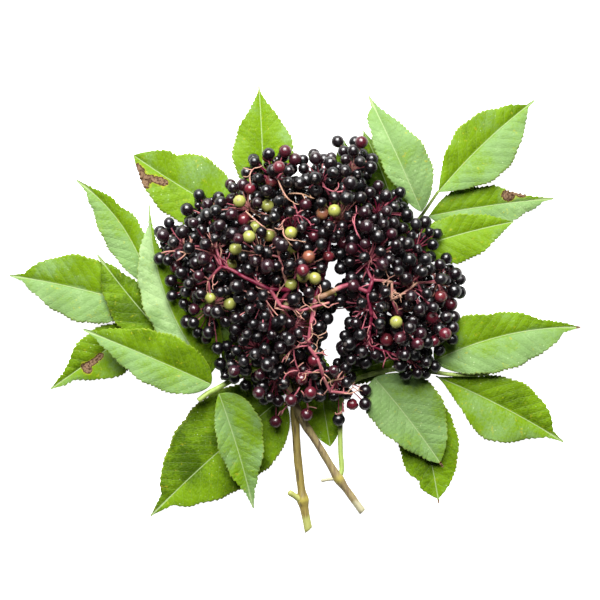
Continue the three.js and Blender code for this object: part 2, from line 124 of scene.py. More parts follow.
# Slow changes over a skin: the level of a noise, and a shift of tone between Low and High read from it.
def buildMottleGroup():
    tree, given, result = newGroup("mottle", {"Scale": "Float", "Low": "Float", "High": "Float"},
                                   {"Level": "Float", "Shift": "Float"})
    level = noise(tree, wire(tree, "ShaderNodeTexCoord").outputs["Object"], given["Scale"])
    tree.links.new(level, result["Level"])
    tree.links.new(mapRange(tree, level, 0.3, 0.7, given["Low"], given["High"]), result["Shift"])
    return tree


# Fine grain for the relief of a skin.
def buildGrainGroup():
    tree, given, result = newGroup("grain", {"Scale": "Float", "Roughness": "Float"}, {"Grain": "Float"})
    place = wire(tree, "ShaderNodeTexCoord").outputs["Object"]
    tree.links.new(noise(tree, place, given["Scale"], 3.0, given["Roughness"]), result["Grain"])
    return tree


mottleGroup, grainGroup = buildMottleGroup(), buildGrainGroup()

# Camera, floor and light.
studio = {
    "aim": (2.6, 4.2),          # where the camera looks, mm on the plan
    "cameraHeight": 1170.0,     # mm above the floor
    "seenWidth": 312.0,         # mm across the frame at floor level
    "sensor": 36.0,
    "clipEnd": 20.0,            # m
    "lampHeight": 1300.0,
    "lampSide": 1300.0,
    "lampShift": (-150.0, 1150.0),
    "lampPower": 118.0,
    "worldColour": (0.93, 0.97, 1.0),
    "worldStrength": 0.05,
    "floorColour": (0.66, 0.66, 0.655),
    "floorRoughness": 0.9,
    "floorGloss": 0.2,
    "floorGlow": 1.1,           # seen by the camera alone, keeping the open floor evenly white
    "paintedShadeReach": 12.0,          # mm; no glow where the ground is shut in closer than this, which leaves painted shade under the bunch
    "glowOpenness": (0.15, 0.3),
    "glowSamples": 8,
    "backdrop": 0.93,           # seen past the floor's edge, by the camera alone
    "floorSide": 3000.0,
}


def placeCamera():
    camera = bpy.data.objects.new("camera", bpy.data.cameras.new("camera"))
    bpy.context.collection.objects.link(camera)
    camera.data.sensor_width = studio["sensor"]
    camera.data.lens = studio["sensor"] * studio["cameraHeight"] / studio["seenWidth"]
    camera.data.clip_end = studio["clipEnd"]
    camera.data.dof.use_dof = False
    camera.location = (studio["aim"][0] * mm, studio["aim"][1] * mm, studio["cameraHeight"] * mm)
    camera.rotation_euler = (0.0, 0.0, 0.0)
    bpy.context.scene.camera = camera


def placeLight():
    lamp = bpy.data.objects.new("softbox", bpy.data.lights.new("softbox", "AREA"))
    bpy.context.collection.objects.link(lamp)
    lamp.data.shape = "SQUARE"
    lamp.data.size = studio["lampSide"] * mm
    lamp.data.energy = studio["lampPower"]
    x, y = studio["lampShift"]
    lamp.location = (x * mm, y * mm, studio["lampHeight"] * mm)
    lamp.rotation_euler = (-math.atan2(y, studio["lampHeight"]), math.atan2(x, studio["lampHeight"]), 0.0)
    world = bpy.data.worlds.new("studio")
    bpy.context.scene.world = world
    world.use_nodes = True
    tree = world.node_tree
    seen = wire(tree, "ShaderNodeLightPath").outputs["Is Camera Ray"]
    strength = wire(tree, "ShaderNodeMapRange", {"Value": seen, "To Min": studio["worldStrength"],
                                                 "To Max": studio["backdrop"]}).outputs["Result"]
    setInputs(tree, tree.nodes["Background"], {"Color": studio["worldColour"], "Strength": strength})
    bpy.context.scene.view_settings.view_transform = "Standard"


def placeFloor():
    half = studio["floorSide"] * mm / 2
    mesh = bpy.data.meshes.new("floor")
    corners = [(-half, -half, 0), (half, -half, 0), (half, half, 0), (-half, half, 0)]
    mesh.from_pydata(corners, [], [(0, 1, 2, 3)])
    floor = bpy.data.objects.new("floor", mesh)
    bpy.context.collection.objects.link(floor)
    paint, tree, surface = newMaterial("floorPaper")
    # The camera-only glow is held back where ambient occlusion finds the ground shut in: painted shade under
    # the bunch.
    seen = wire(tree, "ShaderNodeLightPath").outputs["Is Camera Ray"]
    openness = wire(tree, "ShaderNodeAmbientOcclusion", {"Distance": studio["paintedShadeReach"] * mm},
                    samples=studio["glowSamples"]).outputs["AO"]
    shut, clear = studio["glowOpenness"]
    glow = wire(tree, "ShaderNodeMapRange", {"Value": openness, "From Min": shut, "From Max": clear,
                                             "To Max": studio["floorGlow"]}).outputs["Result"]
    setInputs(tree, surface, {
        "Base Color": studio["floorColour"], "Roughness": studio["floorRoughness"],
        "Specular IOR Level": studio["floorGloss"], "Emission Color": (1.0, 1.0, 1.0),
        "Emission Strength": maths(tree, "MULTIPLY", seen, glow)})
    mesh.materials.append(paint)


placeCamera()
placeLight()
placeFloor()
print("studio ready")

# The drawing: the same places and rules as the frame was built with, in mm.
berryRadius = 3.3
berryGap = 0.3
pedicelRadius = 0.4
rayTwigRadius = 0.42
leafDroop = 0.16    # how far a leaf's margin curls back, as a part of its half width
stalkStart = 2.6    # from a fork to where a spray's stalk counts as its own
# The frame's random numbers: each is the last one times the factor, and what is left over past the limit.
randomStart, randomFactor, randomLimit = 4127, 16807, 2147483647

# Leaves: base and tip, bow to the left of growth; left and right: half width, widest place along and
# how drawn out both ends are; length of the tail, heights of the midrib's underside at base, middle
# and tip, and rise of the left and right halves.
leaves = {
    "leaf_top": {
        "base": (-16, 50), "tip": (-18.8, 115.5), "bow": -0.5, "half": (15.6, 16.4), "widest": (0.45, 0.46),
        "full": (2.9, 3.2), "tail": 0, "height": (5, 5, 0), "fold": (0.3, 0.3)},
    "leaf_upper_left": {
        "base": (-31, 47), "tip": (-84, 79.5), "bow": 1, "half": (16.5, 19.6), "widest": (0.45, 0.43),
        "full": (1.8, 1.55), "tail": 0, "height": (4, 2, 0), "fold": (0.3, 0.25)},
    "leaf_left_upper": {
        "base": (-76, 12), "tip": (-113.5, 66.5), "bow": -6, "half": (12, 8.4), "widest": (0.42, 0.45),
        "full": (1.7, 2.2), "tail": 0.12, "height": (2, 1, 0), "fold": (0.25, 0.4)},
    "leaf_left_middle": {
        "base": (-79, 1), "tip": (-148.5, 17), "bow": -1.5, "half": (16.5, 17.2), "widest": (0.42, 0.48),
        "full": (1.9, 2.1), "tail": 0.1, "height": (6, 5, 0), "fold": (0.25, 0.3)},
    "leaf_left_inner": {
        "base": (-58, -25), "tip": (-102, 27.5), "bow": 1, "half": (14.5, 9.5), "widest": (0.45, 0.42),
        "full": (1.8, 1.8), "tail": 0.08, "height": (7, 9.5, 9), "fold": (0.2, 0.1)},
    "leaf_left_curled": {
        "base": (-43.5, -34), "tip": (-75, 53), "bow": 8, "half": (12.5, 19), "widest": (0.46, 0.26),
        "full": (2.1, 2.5), "tail": 0.1, "height": (10.8, 12.8, 13), "fold": (0.3, 0.05)},
    "leaf_left_front": {
        "base": (-43, -39), "tip": (-109, -11), "bow": -0.6, "half": (13.2, 14.8), "widest": (0.36, 0.36),
        "full": (1.7, 1.6), "tail": 0.1, "height": (16, 17, 11), "fold": (0.25, 0.35)},
    "leaf_left_spotted": {
        "base": (-80, -9), "tip": (-127, -42), "bow": 0, "half": (14.5, 12), "widest": (0.36, 0.42),
        "full": (2.6, 2.1), "tail": 0.16, "height": (2, 2, 0), "fold": (0.2, 0.3)},
    "leaf_bottom_broad": {
        "base": (-6.5, -46.5), "tip": (-75, -108), "bow": -1.4, "half": (23.5, 25), "widest": (0.38, 0.38),
        "full": (1.3, 1.3), "tail": 0.13, "height": (3.5, 1.5, 0), "fold": (0.2, 0.25)},
    "leaf_bottom_front": {
        "base": (-39, -44), "tip": (-21.5, -103.5), "bow": 1, "half": (15.2, 9), "widest": (0.32, 0.45),
        "full": (1.6, 1.8), "tail": 0.13, "height": (14, 11, 6), "fold": (0.3, 0.4)},
    "leaf_bottom_centre": {
        "base": (8, -9), "tip": (18.3, -72), "bow": 0, "half": (10.5, 13.5), "widest": (0.64, 0.58),
        "full": (2.6, 2.2), "tail": 0, "height": (1.5, 0.5, 0), "fold": (0.05, 0.1)},
    "leaf_lower_right_front": {
        "base": (41, -36), "tip": (76.8, -82.5), "bow": 1, "half": (20.8, 15.4), "widest": (0.42, 0.3),
        "full": (1.8, 1.25), "tail": 0.05, "height": (9.5, 7.4, 4.2), "fold": (0.12, 0.27)},
    "leaf_lower_right_back": {
        "base": (60, -36), "tip": (74.8, -101.6), "bow": 1, "half": (16.4, 15), "widest": (0.5, 0.55),
        "full": (1.9, 2), "tail": 0.04, "height": (4, 1, 0), "fold": (0.08, 0.15)},
    "leaf_right_lower": {
        "base": (72.8, -35.2), "tip": (139.5, -69.5), "bow": 1.7, "half": (15.8, 18.6),
        "widest": (0.56, 0.5), "full": (2.6, 3.3), "tail": 0.1, "height": (6.5, 4, 0), "fold": (0.25, 0.3)},
    "leaf_right_middle": {
        "base": (72, -27.2), "tip": (148.5, -10), "bow": 5, "half": (15, 17.4), "widest": (0.3, 0.43),
        "full": (2, 1.4), "tail": 0.12, "height": (9, 9, 0), "fold": (0.25, 0.3)},
    "leaf_right_inner": {
        "base": (65, 49.5), "tip": (38, 109.5), "bow": 0, "half": (9.3, 14.6), "widest": (0.5, 0.38),
        "full": (1.4, 2.1), "tail": 0.1, "height": (16, 20, 9), "fold": (0.25, 0.3)},
    "leaf_right_top": {
        "base": (73.5, 59.5), "tip": (124.5, 108), "bow": 2, "half": (14.8, 18), "widest": (0.48, 0.46),
        "full": (2.5, 2.3), "tail": 0.06, "height": (12.5, 6.5, 0), "fold": (0.3, 0.2)},
    "leaf_right_upper": {
        "base": (69, 47.5), "tip": (134.5, 57), "bow": 1, "half": (12.4, 12), "widest": (0.36, 0.42),
        "full": (3, 1.9), "tail": 0.08, "height": (8, 4, 0), "fold": (0.22, 0.1)},
    "leaf_right_under": {
        "base": (61, 30.5), "tip": (112.5, 44.5), "bow": 1, "half": (10.5, 14.2), "widest": (0.4, 0.42),
        "full": (1.8, 1.9), "tail": 0, "height": (7, 11, 10), "fold": (0.2, 0.3)},
    "leaf_hidden_right": {
        "base": (58, 28), "tip": (35.5, 92), "bow": -2, "half": (12, 7.5), "widest": (0.45, 0.45),
        "full": (1.8, 2), "tail": 0, "height": (4, 4, 2), "fold": (0.1, 0.1)},
    "leaf_hidden_middle": {
        "base": (28, 33), "tip": (25.5, 87), "bow": 0, "half": (11, 11), "widest": (0.45, 0.45),
        "full": (1.8, 2), "tail": 0, "height": (1.5, 0.5, 2), "fold": (0.1, 0.1)},
}

stems = {
    "stem_left": {"radius": 2.1, "route": [
        (7, -115.2, 2.4), (4.2, -100, 2.6), (1.6, -79, 3.5), (0.5, -63, 4.6), (0, -48, 5.2),
        (2, -30, 7), (6, -12, 14), (9.5, 1, 29)]},
    "stem_right": {"radius": 1.9, "route": [
        (35, -105.6, 2.2), (28.6, -96.7, 2.6), (22.4, -88, 4), (17, -79, 5.5), (10.4, -68, 7.5),
        (4, -58, 9.4), (0.5, -50, 10.2), (-5, -36, 11.5), (-8, -18, 15), (-4.5, 3, 29)]},
    "leaf_stalk_right": {"radius": 1.3, "route": [
        (24.2, -84, 4.2), (23.6, -74, 4.5), (23.4, -61, 5), (23.6, -50, 5.5), (29, -38.5, 6.5),
        (49, -32, 7), (62, -32.5, 7.5), (71, -33, 7.5)]},
    "leaf_stalk_left": {"radius": 1.4, "route": [
        (-49.5, -47.5, 14), (-45, -44, 14.5), (-40.5, -41.7, 14.5), (-35, -38.5, 14.5),
        (-28, -35, 13), (-14, -32, 9), (-3.5, -34, 8)]},
    "leaf_stalk_upper_left": {"radius": 1.3, "route": [
        (-1.5, -24, 10), (-20, -27, 8), (-43.5, -27, 7), (-58, -21, 5.5), (-75, -2, 3.5)]},
    "leaf_stalk_top": {"radius": 1.3, "route": [(2, -8, 12), (-6, 10, 7), (-14, 30, 5), (-22, 47, 4.8)]},
    "leaf_stalk_right_top": {"radius": 1.3, "route": [
        (12, 0, 18), (26, 12, 8), (44, 27, 7), (57, 38, 8), (64, 46, 9.5), (72, 57.5, 12)]},
}

# Forks of the umbels: the fork each comes from, its place, the ray's radius, and whether it lies open.
umbels = {
    "umbel_rays_left": {
        "hub": (None, (-3, 9, 33), 1.7, True),
        "westA": ("hub", (-12.5, 9.5, 36), 1.05, True),
        "westB": ("westA", (-28, 17, 36), 0.95, True),
        "westC": ("westB", (-37, 21, 34), 0.85, True),
        "westNorth": ("westC", (-40, 31, 30), 0.7, True),
        "westSouth": ("westC", (-44, 14, 29), 0.7, True),
        "eastA": ("westA", (-7, 1, 36), 0.9, True),
        "eastB": ("eastA", (3, -1.2, 36.5), 0.8, True),
        "eastC": ("eastB", (17, 2.8, 36.3), 0.65, True),
        "southA": ("hub", (-12, -3, 29), 0.8, False),
        "southB": ("southA", (-15, -25, 24), 0.75, False),
        "northA": ("hub", (-8, 26, 31), 0.7, False),
        "northB": ("northA", (-11, 46, 29), 0.6, False),
        "northC": ("northB", (-5, 60, 26), 0.55, False),
    },
    "umbel_rays_right": {
        "hub": (None, (10.5, 5, 32), 1.7, True),
        "eastA": ("hub", (20, 9, 34), 1.3, True),
        "eastB": ("eastA", (28, 12, 35.5), 1.2, True),
        "eastC": ("eastB", (37, 8, 35.5), 1.1, True),
        "eastNorthA": ("eastC", (39, 14, 35), 0.9, True),
        "eastNorthB": ("eastNorthA", (36, 21, 33), 0.8, True),
        "loopA": ("eastNorthA", (49, 13, 34), 0.75, True),
        "loopB": ("loopA", (49, 4, 32.5), 0.7, True),
        "eastSouthA": ("eastC", (39, -4, 33), 0.9, True),
        "eastSouthB": ("eastSouthA", (38, -11, 31), 0.8, True),
        "eastSouthC": ("eastSouthB", (38, -19, 28), 0.7, True),
        "eastSouthD": ("eastSouthC", (49, -23, 25), 0.6, True),
        "farEast": ("loopB", (62, 13, 29), 0.65, True),
        "southA": ("hub", (8, -9, 34), 1.0, True),
        "southB": ("southA", (7, -19, 32.5), 0.95, True),
        "southC": ("southB", (11, -25, 31), 0.9, True),
        "southD": ("southC", (14, -34, 27), 0.85, True),
        "southE": ("southD", (18, -42.5, 23), 0.8, True),
        "southF": ("southE", (29, -44, 19), 0.6, True),
        "northA": ("hub", (16, 21, 26), 0.9, False),
        "northB": ("northA", (19, 38, 22), 0.8, False),
        "northC": ("northB", (18, 57, 20), 0.7, False),
    },
}

# Leaves that show only in gaps between berries, in the same terms; the frame has no node for them.
leavesBehind = {
    "leaf_behind_right": {
        "base": (54, -25), "tip": (21.5, -33.5), "bow": 1, "half": (8.5, 8.5), "widest": (0.6, 0.6),
        "full": (1.3, 1.3), "tail": 0, "height": (3, 3, 2.5), "fold": (0.1, 0.1)},
    "leaf_behind_left": {
        "base": (-37.5, -27), "tip": (4, -12), "bow": 0, "half": (13, 12.5), "widest": (0.36, 0.45),
        "full": (1.2, 1.4), "tail": 0, "height": (3, 3, 2.5), "fold": (0.1, 0.1)},
    "leaf_behind_centre": {
        "base": (-27, -36.5), "tip": (11, -35), "bow": 0, "half": (7, 9.5), "widest": (0.45, 0.5),
        "full": (1.2, 1.2), "tail": 0, "height": (1.6, 1.2, 1.6), "fold": (0.1, 0.1)},
    "leaf_behind_notch": {
        "base": (-52, 4), "tip": (-30.8, -15.5), "bow": 0, "half": (9, 9), "widest": (0.6, 0.6),
        "full": (1.3, 1.3), "tail": 0, "height": (6, 6.5, 6), "fold": (0.1, 0.1)},
}

# Berry sprays: centre and half sizes of their space, the umbel, and the fork each hangs on.
leftUmbel, rightUmbel = "umbel_rays_left", "umbel_rays_right"
sprays = [
    ((-12, 68, 20), (13, 11.5, 12), leftUmbel, "northC"),
    ((12, 68, 18), (12, 11, 11), rightUmbel, "northC"),
    ((-45, 49, 15), (11, 10, 10), leftUmbel, "westNorth"),
    ((-27, 52, 23), (12, 13, 11), leftUmbel, "northB"),
    ((0, 44, 26), (13, 13, 12), leftUmbel, "northA"),
    ((-60, 32, 16), (11, 13, 11), leftUmbel, "westNorth"),
    ((-43, 30, 23), (13, 13, 12), leftUmbel, "westC"),
    ((-20, 28, 27), (13, 13, 12), leftUmbel, "northA"),
    ((-53, 11, 18), (11, 11, 9), leftUmbel, "westSouth"),
    ((-42, -2, 22), (15, 14, 10), leftUmbel, "westSouth"),
    ((3, 22, 27), (13, 12, 12), leftUmbel, "hub"),
    ((-17, 3, 26), (14, 13, 12), leftUmbel, "westA"),
    ((-22, -18, 21), (13, 12, 12), leftUmbel, "southB"),
    ((2, -11, 23), (12, 12, 12), leftUmbel, "eastA"),
    ((-27.5, -31, 16), (9.5, 9, 10), leftUmbel, "southB"),
    ((-9, -39, 17), (14, 9, 10), leftUmbel, "southB"),
    ((8, -34, 18), (11, 12, 11), rightUmbel, "southC"),
    ((22.5, -35, 14), (7, 11, 8), rightUmbel, "southE"),
    ((31, 73, 15), (9.5, 10, 9), rightUmbel, "northC"),
    ((24, 48, 22), (13, 13, 12), rightUmbel, "northB"),
    ((46, 50, 20), (13, 13, 12), rightUmbel, "northB"),
    ((61.5, 33, 19), (9.5, 13, 10), rightUmbel, "farEast"),
    ((40, 27, 26), (14, 13, 12), rightUmbel, "eastNorthB"),
    ((75.5, 13, 15), (10, 13, 10), rightUmbel, "farEast"),
    ((60, 11, 23), (13, 13, 12), rightUmbel, "loopA"),
    ((38, 0, 25), (13, 12, 12), rightUmbel, "eastC"),
    ((73, -9.5, 16), (9, 12.5, 11), rightUmbel, "farEast"),
    ((57, -13, 21), (12, 13, 12), rightUmbel, "loopB"),
    ((36, -18, 18), (12, 10, 10), rightUmbel, "eastSouthB"),
    ((61, -27, 15), (12, 7.5, 9), rightUmbel, "eastSouthD"),
]
# Single berries that hang outside their spray's space: the spray's number from 0, and the place.
strays = [
    (17, (36.2, -42.4, 12.4)), (17, (36.1, -49.2, 14.8)), (17, (22.5, -57.5, 10.2)), (17, (29.5, -49.5, 13)),
    (16, (6, -54.5, 18)), (15, (-10, -58.5, 11)), (21, (73, 38, 16)), (18, (22, 86, 9)),
    (18, (31, 85.5, 11)),
]

# How berries are packed, in mm and in parts of a spray's reach.
packing = {
    # the frame's own berries and the stalks of the sprays
    "modelledRounds": 150, "modelledPerSpray": 8, "modelledSize": (0.86, 0.2), "modelledLift": 0.5,
    "cellMargin": 0.8, "shortestPedicel": 5, "pedicelClearance": 0.75, "pedicelToLeaf": 3.5,
    "samples": np.array([0.2, 0.4, 0.6, 0.8]), "leafClearance": 5.5, "backCone": 0.6, "routeBow": 0.7,
    "junctionShift": 0.35, "sprayStalkRadius": 0.7,
    # berries that stand out: how near a modelled one may be taken, and heights tried for a new one
    "spotReach": 2.4, "spotOverlap": 0.8,
    "spotShifts": np.array([0, -0.5, 0.5, -1, 1, -1.5, 1.5, -2, 2, -3, 2.5, 3, -4, 3.5, 4, 5, 6, 7, 8, 10]),
    # the rest: shells as parts of the reach, how many places are tried on each, and the room they need
    "fillSeed": 5,
    "fillLayers": (1.0, 1.2, 1.4, 0.75, 1.65, 0.0), "fillTries": (450, 450, 450, 150, 450, 350),
    "fillUpward": 1.15, "fillBetween": 2.4, "fillLowest": 4.0, "fillSpread": 1.2, "fillSize": (0.84, 1.16),
    "fillMargin": 0.6, "fillGap": 0.2, "fillPedicel": 3.6, "fillLeaf": 5.1, "fillLink": 0.1, "fillLift": 0.3,
    "enclosed": 0.42, "clearShare": 0.75, "clearAtLeast": 2.5,
    # small low ones: a grid over the plan, the sizes tried one after another, and the heights
    "plugField": ((-75, 95), (-62, 95)), "plugStep": 1.4, "plugLevel": 20.0, "plugInside": 0.78,
    "plugSizes": ((0.7, 0.9), (0.42, 0.6)), "plugCover": 0.78, "plugHeights": np.arange(3.5, 17, 1.5),
    "leafCovers": 2.4,
}

# Bare twigs that lie open among the berries: start, middle and end, and tone as for rays.
bareTwigs = [
    ((-8.5, 64.7, 33), (-4.5, 56.5, 35.5), (-0.9, 53.6, 36.5), 0.66),
    ((-0.9, 53.6, 36.5), (0.5, 50, 37), (1.6, 46.5, 37), 0.4),
    ((-5, 44.7, 37.5), (1.9, 46.6, 38), (6.8, 43.5, 37.5), 0.12),
    ((-24.9, 49.1, 34), (-19.7, 44.2, 36), (-14.1, 39.7, 37.5), 0.7),
    ((-5.8, 40.4, 38), (-4.6, 35.5, 38.5), (1.6, 34.1, 38.5), 0.72),
    ((-5, 44.7, 37.5), (-6.5, 42.5, 38), (-5.8, 40.4, 38), 0.5),
    ((-22.1, 62.3, 31), (-22.8, 67.5, 30.5), (-20.5, 71, 29.5), 0.6),
    ((-3.3, 57.8, 34.5), (3.6, 57.6, 34.5), (8.2, 55.2, 34), 0.85),
    ((14, 62, 28.5), (20, 59, 29.5), (25, 60, 29.5), 0.3),
    ((33, 35, 36.5), (30, 42, 35), (31, 48, 33.5), 0.35),
    ((-60, 24, 28), (-55, 28, 30), (-52, 35, 30), 0.6),
    ((-68, 28, 25), (-62, 29, 27), (-55, 28, 30), 0.6),
    ((6.7, -19, 33), (3, -19.3, 34), (-0.5, -19.8, 33.5), 0.35),
    ((-0.5, -19.8, 33.5), (-0.1, -25.8, 32.5), (2.4, -32.6, 30.5), 0.38),
    ((-0.5, -19.8, 33.5), (-2.6, -22.2, 33), (-5.2, -24.5, 32), 0.45),
    ((2.4, -31.7, 30.5), (-4.3, -33.4, 30), (-5.6, -40.2, 28), 0.4),
    ((12.6, -32.6, 29), (8.4, -32.7, 30), (4.1, -33.4, 29.5), 0.6),
    ((2.4, -40.2, 27), (-1.8, -47, 23), (-8.6, -55.5, 13), 0.4),
    ((3.3, -41.9, 26), (5.8, -47, 23), (6.7, -52.1, 20), 0.42),
    ((24.5, -48.7, 15), (24.6, -51.2, 14), (24.1, -53.8, 13), 0.45),
    ((1.6, -11.3, 35), (4.2, -13.9, 35.5), (7.5, -19, 33.5), 0.1),
]

# Openings that show the ground: middle and half sizes on the plan, mm.
clearings = [((20, 17.5), (4.4, 5.4)), ((23.7, -2.6), (3.7, 2.6)), ((20.7, -11.6), (4.4, 4.4)),
             ((17, -22), (3.7, 7)), ((69, 14), (2.3, 3)), ((9.5, 75), (2.5, 3)), ((37, -34), (6, 2.6)),
             ((-40, -36.4), (3, 4)), ((46.3, -29), (4.5, 2)), ((20.3, -39), (2, 1.5)),
             ((-37, -14.5), (6, 3.4)), ((-31, -38), (4, 1.8))]

# Berries that stand out, on top where they show: ripeness from 0 green over 0.25 orange and 0.5 red
# to 1 black, and their places on the plan, mm.
standouts = {
    0.0: [(-28, 54), (-14, 52), (-20, 41), (-23, 36), (-13, 37), (-30, 30), (-33, 23), (-2, 38), (-2, 30),
          (20, 50), (-2, 12), (4, 16), (10, 15), (-43, 5), (-34, 2), (51, -7)],
    0.25: [(14, 48), (7, 26), (58, 0)],
    0.5: [(-16, 78), (-8, 71), (-12, 64.5), (-22, 58.5), (4, 19), (-26, 45), (17, 26), (70, -5),
          (76, -13), (46, -17), (74, 6), (30, -49)],
    0.6: [(4.3, -33.8), (-1.2, -32), (7.9, -42.9), (9.7, -26.6), (71, -17)],
    0.68: [(-2, -47), (6, -55), (-10, -58), (-61, 21), (-5, 80), (0, 76), (34, 85), (10, 36), (25, 33),
           (62, -18), (80, 2), (52, -2), (-18.3, -42.9), (53, -15), (-28.2, 34.8)],
    0.74: [(-17.4, -33.8), (-30.9, -32), (-26.4, 62.8), (-31.9, 47.4), (6, 51), (44, 22.1), (28.6, 30),
           (29.5, 11.3)],
    0.98: [(22.5, -57.5), (73.8, -22.4), (-39.4, -20.3), (-38.2, -28.4), (-31.6, -21.8), (-35.7, -32.6),
           (28.3, 25), (23.2, 20.3), (28.7, 15.2), (22.8, 3.7), (16.4, -5.2), (12.2, -9.4), (15.2, 11.4),
           (39.7, 5.8), (33.8, 2.6), (22.8, 27.5)],
}


# Half width along a leaf, as a part of its widest: t^a (e - t)^b up to e, where the tail begins, blended
# as a root of summed cubes with a slim wedge that runs to the tip.
def outline(t, widest, full, tail):
    end = 1 - tail
    rising, falling = full * widest, full * (end - widest)
    body = (t / widest) ** rising * (np.maximum(end - t, 0) / (end - widest)) ** falling
    wedge = 6 * tail * (1 - t) * np.minimum(t / widest, 1)
    return (body ** 3 + wedge ** 3) ** (1 / 3)


def leafHalf(leaf, t, across):
    sides = [half * outline(t, widest, full, leaf["tail"])
             for half, widest, full in zip(leaf["half"], leaf["widest"], leaf["full"])]
    return np.maximum(np.where(across > 0, *sides), 0.4)


# A leaf's surface: a midrib with a parabolic bow, and halves spread square to it by the outline,
# rising by the fold and curling back by the droop. t runs 0 to 1 along, across runs -1 to 1, left is +.
def leafPoint(leaf, t, across, wider=0.0):
    base, tip = np.array(leaf["base"], float), np.array(leaf["tip"], float)
    run = tip - base
    length = np.hypot(run[0], run[1])
    forward = run / length
    sideways = 4 * leaf["bow"] * t * (1 - t)
    turn = 4 * leaf["bow"] * (1 - 2 * t)
    reach = np.hypot(length, turn)
    toLeftX = -(forward[1] * length + forward[0] * turn) / reach
    toLeftY = (forward[0] * length - forward[1] * turn) / reach
    isLeft = across > 0
    half = leafHalf(leaf, t, across) + wider
    foldHere = np.where(isLeft, leaf["fold"][0], leaf["fold"][1])
    rise = foldHere * np.abs(across) - leafDroop * across * across
    low, middle, high = leaf["height"]
    midrib = low * (1 - t) * (1 - 2 * t) + 4 * middle * t * (1 - t) + high * t * (2 * t - 1)
    x = base[0] + run[0] * t - forward[1] * sideways + toLeftX * across * half
    y = base[1] + run[1] * t + forward[0] * sideways + toLeftY * across * half
    return np.stack([x, y, np.maximum(midrib + half * rise, 0)], axis=-1)


# Where every berry hangs.
def forkPlace(umbel, name):
    return np.array(umbels[umbel][name][1], float)


# Each spray's junction lies towards its fork; back is the direction of its stalk.
def junctionOf(spray):
    centre, reach, umbel, fork = spray
    centre, fork = np.array(centre, float), forkPlace(umbel, fork)
    away = np.linalg.norm(fork - centre)
    junction = centre + (fork - centre) * (packing["junctionShift"] * sum(reach) / 3 / away)
    back = np.linalg.norm(fork - junction)
    stalkEnd = fork + (junction - fork) * (stalkStart / back)
    return centre, junction, (fork - junction) / back, stalkEnd


# Straight links that berries keep clear of: start, end, radius, owner and 0 where nothing may hang above.
def listLinks(junctions):
    rows = []
    for stem in stems.values():
        for start, end in zip(stem["route"][:-1], stem["route"][1:]):
            rows.append((start, end, stem["radius"] + packing["routeBow"], -1, 1.0))
    for umbel in umbels.values():
        for parent, place, radius, isOpen in umbel.values():
            if parent:
                rows.append((umbel[parent][1], place, radius, -1, 0.0 if isOpen else 1.0))
    for owner, (_, junction, _, stalkEnd) in enumerate(junctions):
        rows.append((stalkEnd, junction, packing["sprayStalkRadius"], owner, 1.0))
    return [np.array(column, float) for column in zip(*rows)]


# Distances from points (n, 3) to every link (m), as (n, m).
def linkDistances(points, starts, ends, above):
    span = ends - starts
    offset = points[:, None, :] - starts[None]
    t = np.clip((offset * span).sum(2) / (span * span).sum(1), 0, 1)
    away = points[:, None, :] - (starts[None] + span[None] * t[..., None])
    away[..., 2] = np.where(away[..., 2] > 0, away[..., 2] * above, away[..., 2])
    return np.sqrt((away * away).sum(2))


# The frame's own berries: thrown onto the outside of each spray's space, and kept where there is room
# for the berry and its thin stalk in the spray's own cell.
def placeModelledBerries(junctions, links, leafPoints):
    starts, ends, linkRadius, linkOwner, above = links
    centres = np.array([row[0] for row in junctions])
    fractions = packing["samples"][:, None]
    places, radii, owners, stalks = [], [], [], []
    counts = [0] * len(sprays)

    def add(number, at, radius):
        junction = junctions[number][1]
        places.append(at)
        radii.append(radius)
        owners.append(number)
        stalks.append(junction + (at - junction) * fractions)
        counts[number] += 1

    def hasRoom(number, at, radius):
        _, junction, back, _ = junctions[number]
        pedicel = np.linalg.norm(at - junction)
        if pedicel < packing["shortestPedicel"] or at[2] < radius + packing["modelledLift"]:
            return False
        if (at - junction) @ back / pedicel > packing["backCone"]:
            return False
        if pastCell(number, at[None], centres)[0] > -packing["cellMargin"]:
            return False
        others = np.array(places)
        size = np.array(radii)
        if (np.linalg.norm(others - at, axis=1) < size + radius + berryGap).any():
            return False
        if (linkDistances(at[None], starts, ends, above)[0] < radius + linkRadius + berryGap).any():
            return False
        samples = junction + (at - junction) * fractions
        toLeaf = np.linalg.norm(samples[:, None] - leafPoints[None], axis=2)
        if (toLeaf < packing["pedicelToLeaf"]).any():
            return False
        if (np.linalg.norm(leafPoints - at, axis=1) < packing["leafClearance"]).any():
            return False
        foreign = linkOwner != number
        room = pedicelRadius + linkRadius[foreign] + packing["pedicelClearance"]
        if (linkDistances(samples, starts[foreign], ends[foreign], 1.0) < room).any():
            return False
        foreign = np.array(owners) != number
        if foreign.any():
            room = size[foreign] + pedicelRadius + packing["pedicelClearance"]
            if (np.linalg.norm(samples[:, None] - others[foreign][None], axis=2) < room).any():
                return False
            oldStalks = np.array(stalks)[foreign]
            room = radius + pedicelRadius + packing["pedicelClearance"]
            if (np.linalg.norm(oldStalks - at, axis=2) < room).any():
                return False
        return True

    for number, at in strays:
        add(number, np.array(at, float), berryRadius)
    seed = randomStart
    smallest, spread = packing["modelledSize"]
    for _ in range(packing["modelledRounds"]):
        for number, (centre, reach, _, _) in enumerate(sprays):
            draws = []
            for _ in range(3):
                seed = seed * randomFactor % randomLimit
                draws.append(seed / randomLimit)
            turn, level = 2 * math.pi * draws[0], 2 * draws[1] - 1
            radius = berryRadius * (smallest + spread * draws[2])
            flat = math.sqrt(1 - level * level)
            way = np.array([flat * math.cos(turn), flat * math.sin(turn), level])
            at = np.array(centre, float) + np.array(reach, float) * way
            if counts[number] < packing["modelledPerSpray"] and hasRoom(number, at, radius):
                add(number, at, radius)
    return places, radii, owners


